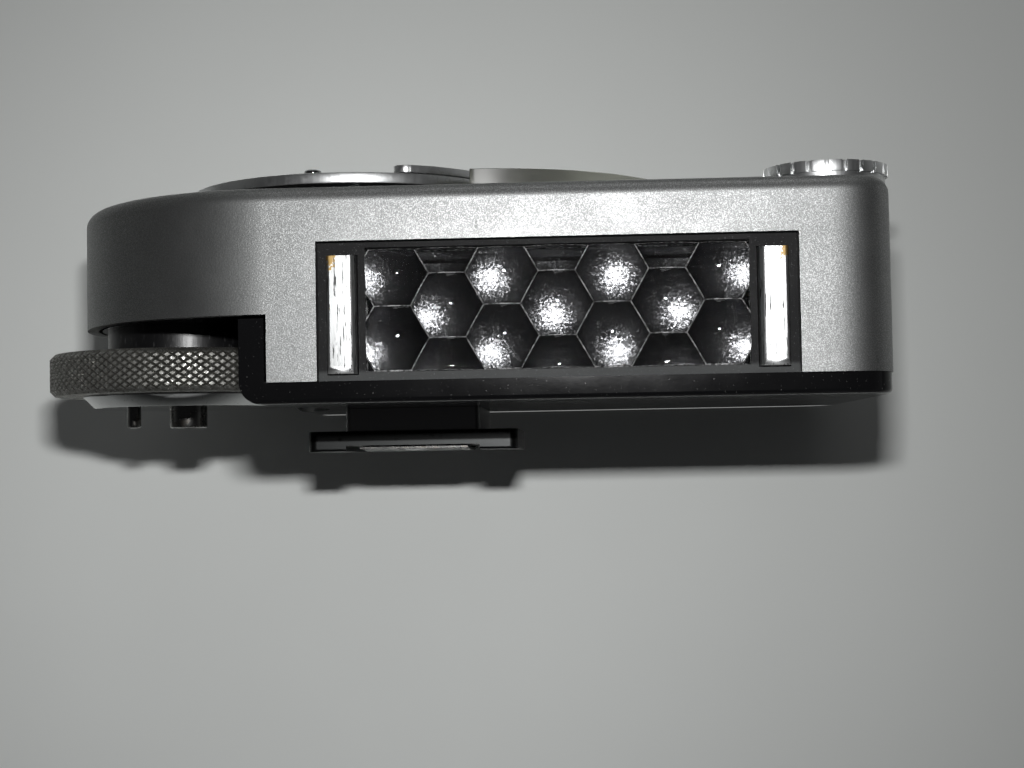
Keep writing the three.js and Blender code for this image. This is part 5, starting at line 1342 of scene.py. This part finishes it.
def lay_floor(pale):
    """The pale sheet: there for the camera and for far reflections, clear from behind and to all other rays"""
    clear()
    bpy.ops.mesh.primitive_plane_add(size=4, location=(0, BACK + FIT, 0), rotation=(math.pi / 2, 0, 0))
    floor = placed("pale_floor")
    finish = Finish("pale_floor", {"Roughness": 0.8, "Specular IOR Level": 0.2})
    # Painted pool of light: the sheet is paler near the meter and darker further out, as under a near lamp; the grain
    # is real
    painted_light_falloff = finish.distance(-15 * MM, 0, -12 * MM, (1, 0, 1)).rise(0.02, 0.1)
    lit = finish.tint(finish.grain(30, 3), scaled(pale, 1.04), scaled(pale, 1.12))
    finish.wear(painted_light_falloff, lit, scaled(pale, 0.62))
    camera, glossy, through, run = (
        finish.node("ShaderNodeLightPath", output=kind)
        for kind in ("Is Camera Ray", "Is Glossy Ray", "Is Transmission Ray", "Ray Length")
    )
    seen = camera + (glossy + through) * run.rise(2 * MM, 4 * MM)
    behind = finish.node("ShaderNodeNewGeometry", output="Backfacing")
    clearing = finish.node("ShaderNodeBsdfTransparent")
    mixed = finish.node("ShaderNodeMixShader", {}, {0: seen * (1 - behind), 1: clearing})
    finish.tree.links.new(finish.shader.outputs[0], mixed.socket.node.inputs[2])
    output = next(node for node in finish.tree.nodes if node.type == "OUTPUT_MATERIAL")
    finish.tree.links.new(mixed.socket, output.inputs["Surface"])
    floor.data.materials.append(finish.material)


class OBJECT_OT_meter_stage(bpy.types.Operator):
    """The pale floor the meter lies on with its back, the soft lamps, the pale surroundings and the camera"""

    bl_idname = "object.meter_stage"
    bl_label = "Stage"

    def execute(self, context):
        scene = context.scene
        pale = palette("floor")
        lay_floor(pale)

        world = bpy.data.worlds.new("dim_room")
        scene.world = world
        world.use_nodes = True
        world.node_tree.nodes.clear()
        room = Nodes(world.node_tree)
        direction = room.node("ShaderNodeTexCoord", output="Generated")
        depth, height = room.axis("Y", direction), room.axis("Z", direction)
        dim = room.tint(depth.rise(-0.6, 0.9) + height.rise(0.2, 1) * 0.1, (0.022, 0.022, 0.023), scaled(pale, 0.5))
        path = room.node("ShaderNodeLightPath", output="Is Camera Ray")
        sky = room.node("ShaderNodeBackground", {}, {"Color": room.tint(path, dim, scaled(pale, 0.53))})
        room.node("ShaderNodeOutputWorld", {}, {"Surface": sky})

        for name, (place, width, height, power) in LAMPS.items():
            clear()
            bpy.ops.object.light_add(type="AREA", location=place)
            lamp = bpy.context.object
            lamp.name = name
            lamp.data.shape = "RECTANGLE"
            lamp.data.size, lamp.data.size_y = width, height
            lamp.data.energy = power
            lamp.rotation_euler = (Vector(AIM) - Vector(place)).to_track_quat("-Z", "Y").to_euler()

        data = bpy.data.cameras.new("photo_camera")
        data.sensor_width = SENSOR_WIDTH
        data.lens = FOCAL_PIXELS * SENSOR_WIDTH / FRAME_PIXELS
        data.clip_start, data.clip_end = 0.01, 10
        camera = bpy.data.objects.new("photo_camera", data)
        scene.collection.objects.link(camera)
        turn = Matrix((CAMERA_RIGHT, CAMERA_UP, -CAMERA_AHEAD)).transposed().to_4x4()
        camera.matrix_world = Matrix.Translation(CAMERA_PLACE) @ turn
        scene.camera = camera
        scene.view_settings.view_transform = "Standard"
        return {"FINISHED"}


class VIEW3D_PT_light_meter(bpy.types.Panel):
    """Lists the pieces of the light meter and their sizes and colours"""

    bl_label = "Light meter"
    bl_idname = "VIEW3D_PT_light_meter"
    bl_space_type = "VIEW_3D"
    bl_region_type = "UI"
    bl_category = "Light meter"

    def draw(self, context):
        layout = self.layout
        for group in (context.scene.meter_sizes, context.scene.meter_colours):
            box = layout.box()
            for name in group.__annotations__:
                box.prop(group, name)
        for operator in OPERATORS:
            layout.operator(operator.bl_idname)


OPERATORS = (
    OBJECT_OT_meter_stage,
    OBJECT_OT_meter_inner_finishes,
    MESH_OT_meter_housing,
    MESH_OT_meter_base,
    MESH_OT_meter_screws,
    MESH_OT_meter_foot,
    MESH_OT_meter_bezel,
    MESH_OT_meter_contact_bars,
    MESH_OT_meter_lens_plate,
    MESH_OT_meter_wheel,
    MESH_OT_meter_lift_spring,
    MESH_OT_meter_coupling,
    MESH_OT_meter_dial,
    MESH_OT_meter_index_plate,
    MESH_OT_meter_needle_window,
    MESH_OT_meter_range_knob,
    MESH_OT_meter_marks,
)
CLASSES = (MeterSizes, MeterColours, *OPERATORS, VIEW3D_PT_light_meter)


def register():
    for each in CLASSES:
        bpy.utils.register_class(each)
    bpy.types.Scene.meter_sizes = bpy.props.PointerProperty(type=MeterSizes)
    bpy.types.Scene.meter_colours = bpy.props.PointerProperty(type=MeterColours)


def unregister():
    del bpy.types.Scene.meter_colours
    del bpy.types.Scene.meter_sizes
    for each in reversed(CLASSES):
        bpy.utils.unregister_class(each)


def main():
    register()
    for operator in OPERATORS:
        group, name = operator.bl_idname.split(".")
        getattr(getattr(bpy.ops, group), name)()
    clear()


if __name__ == "__main__":
    main()
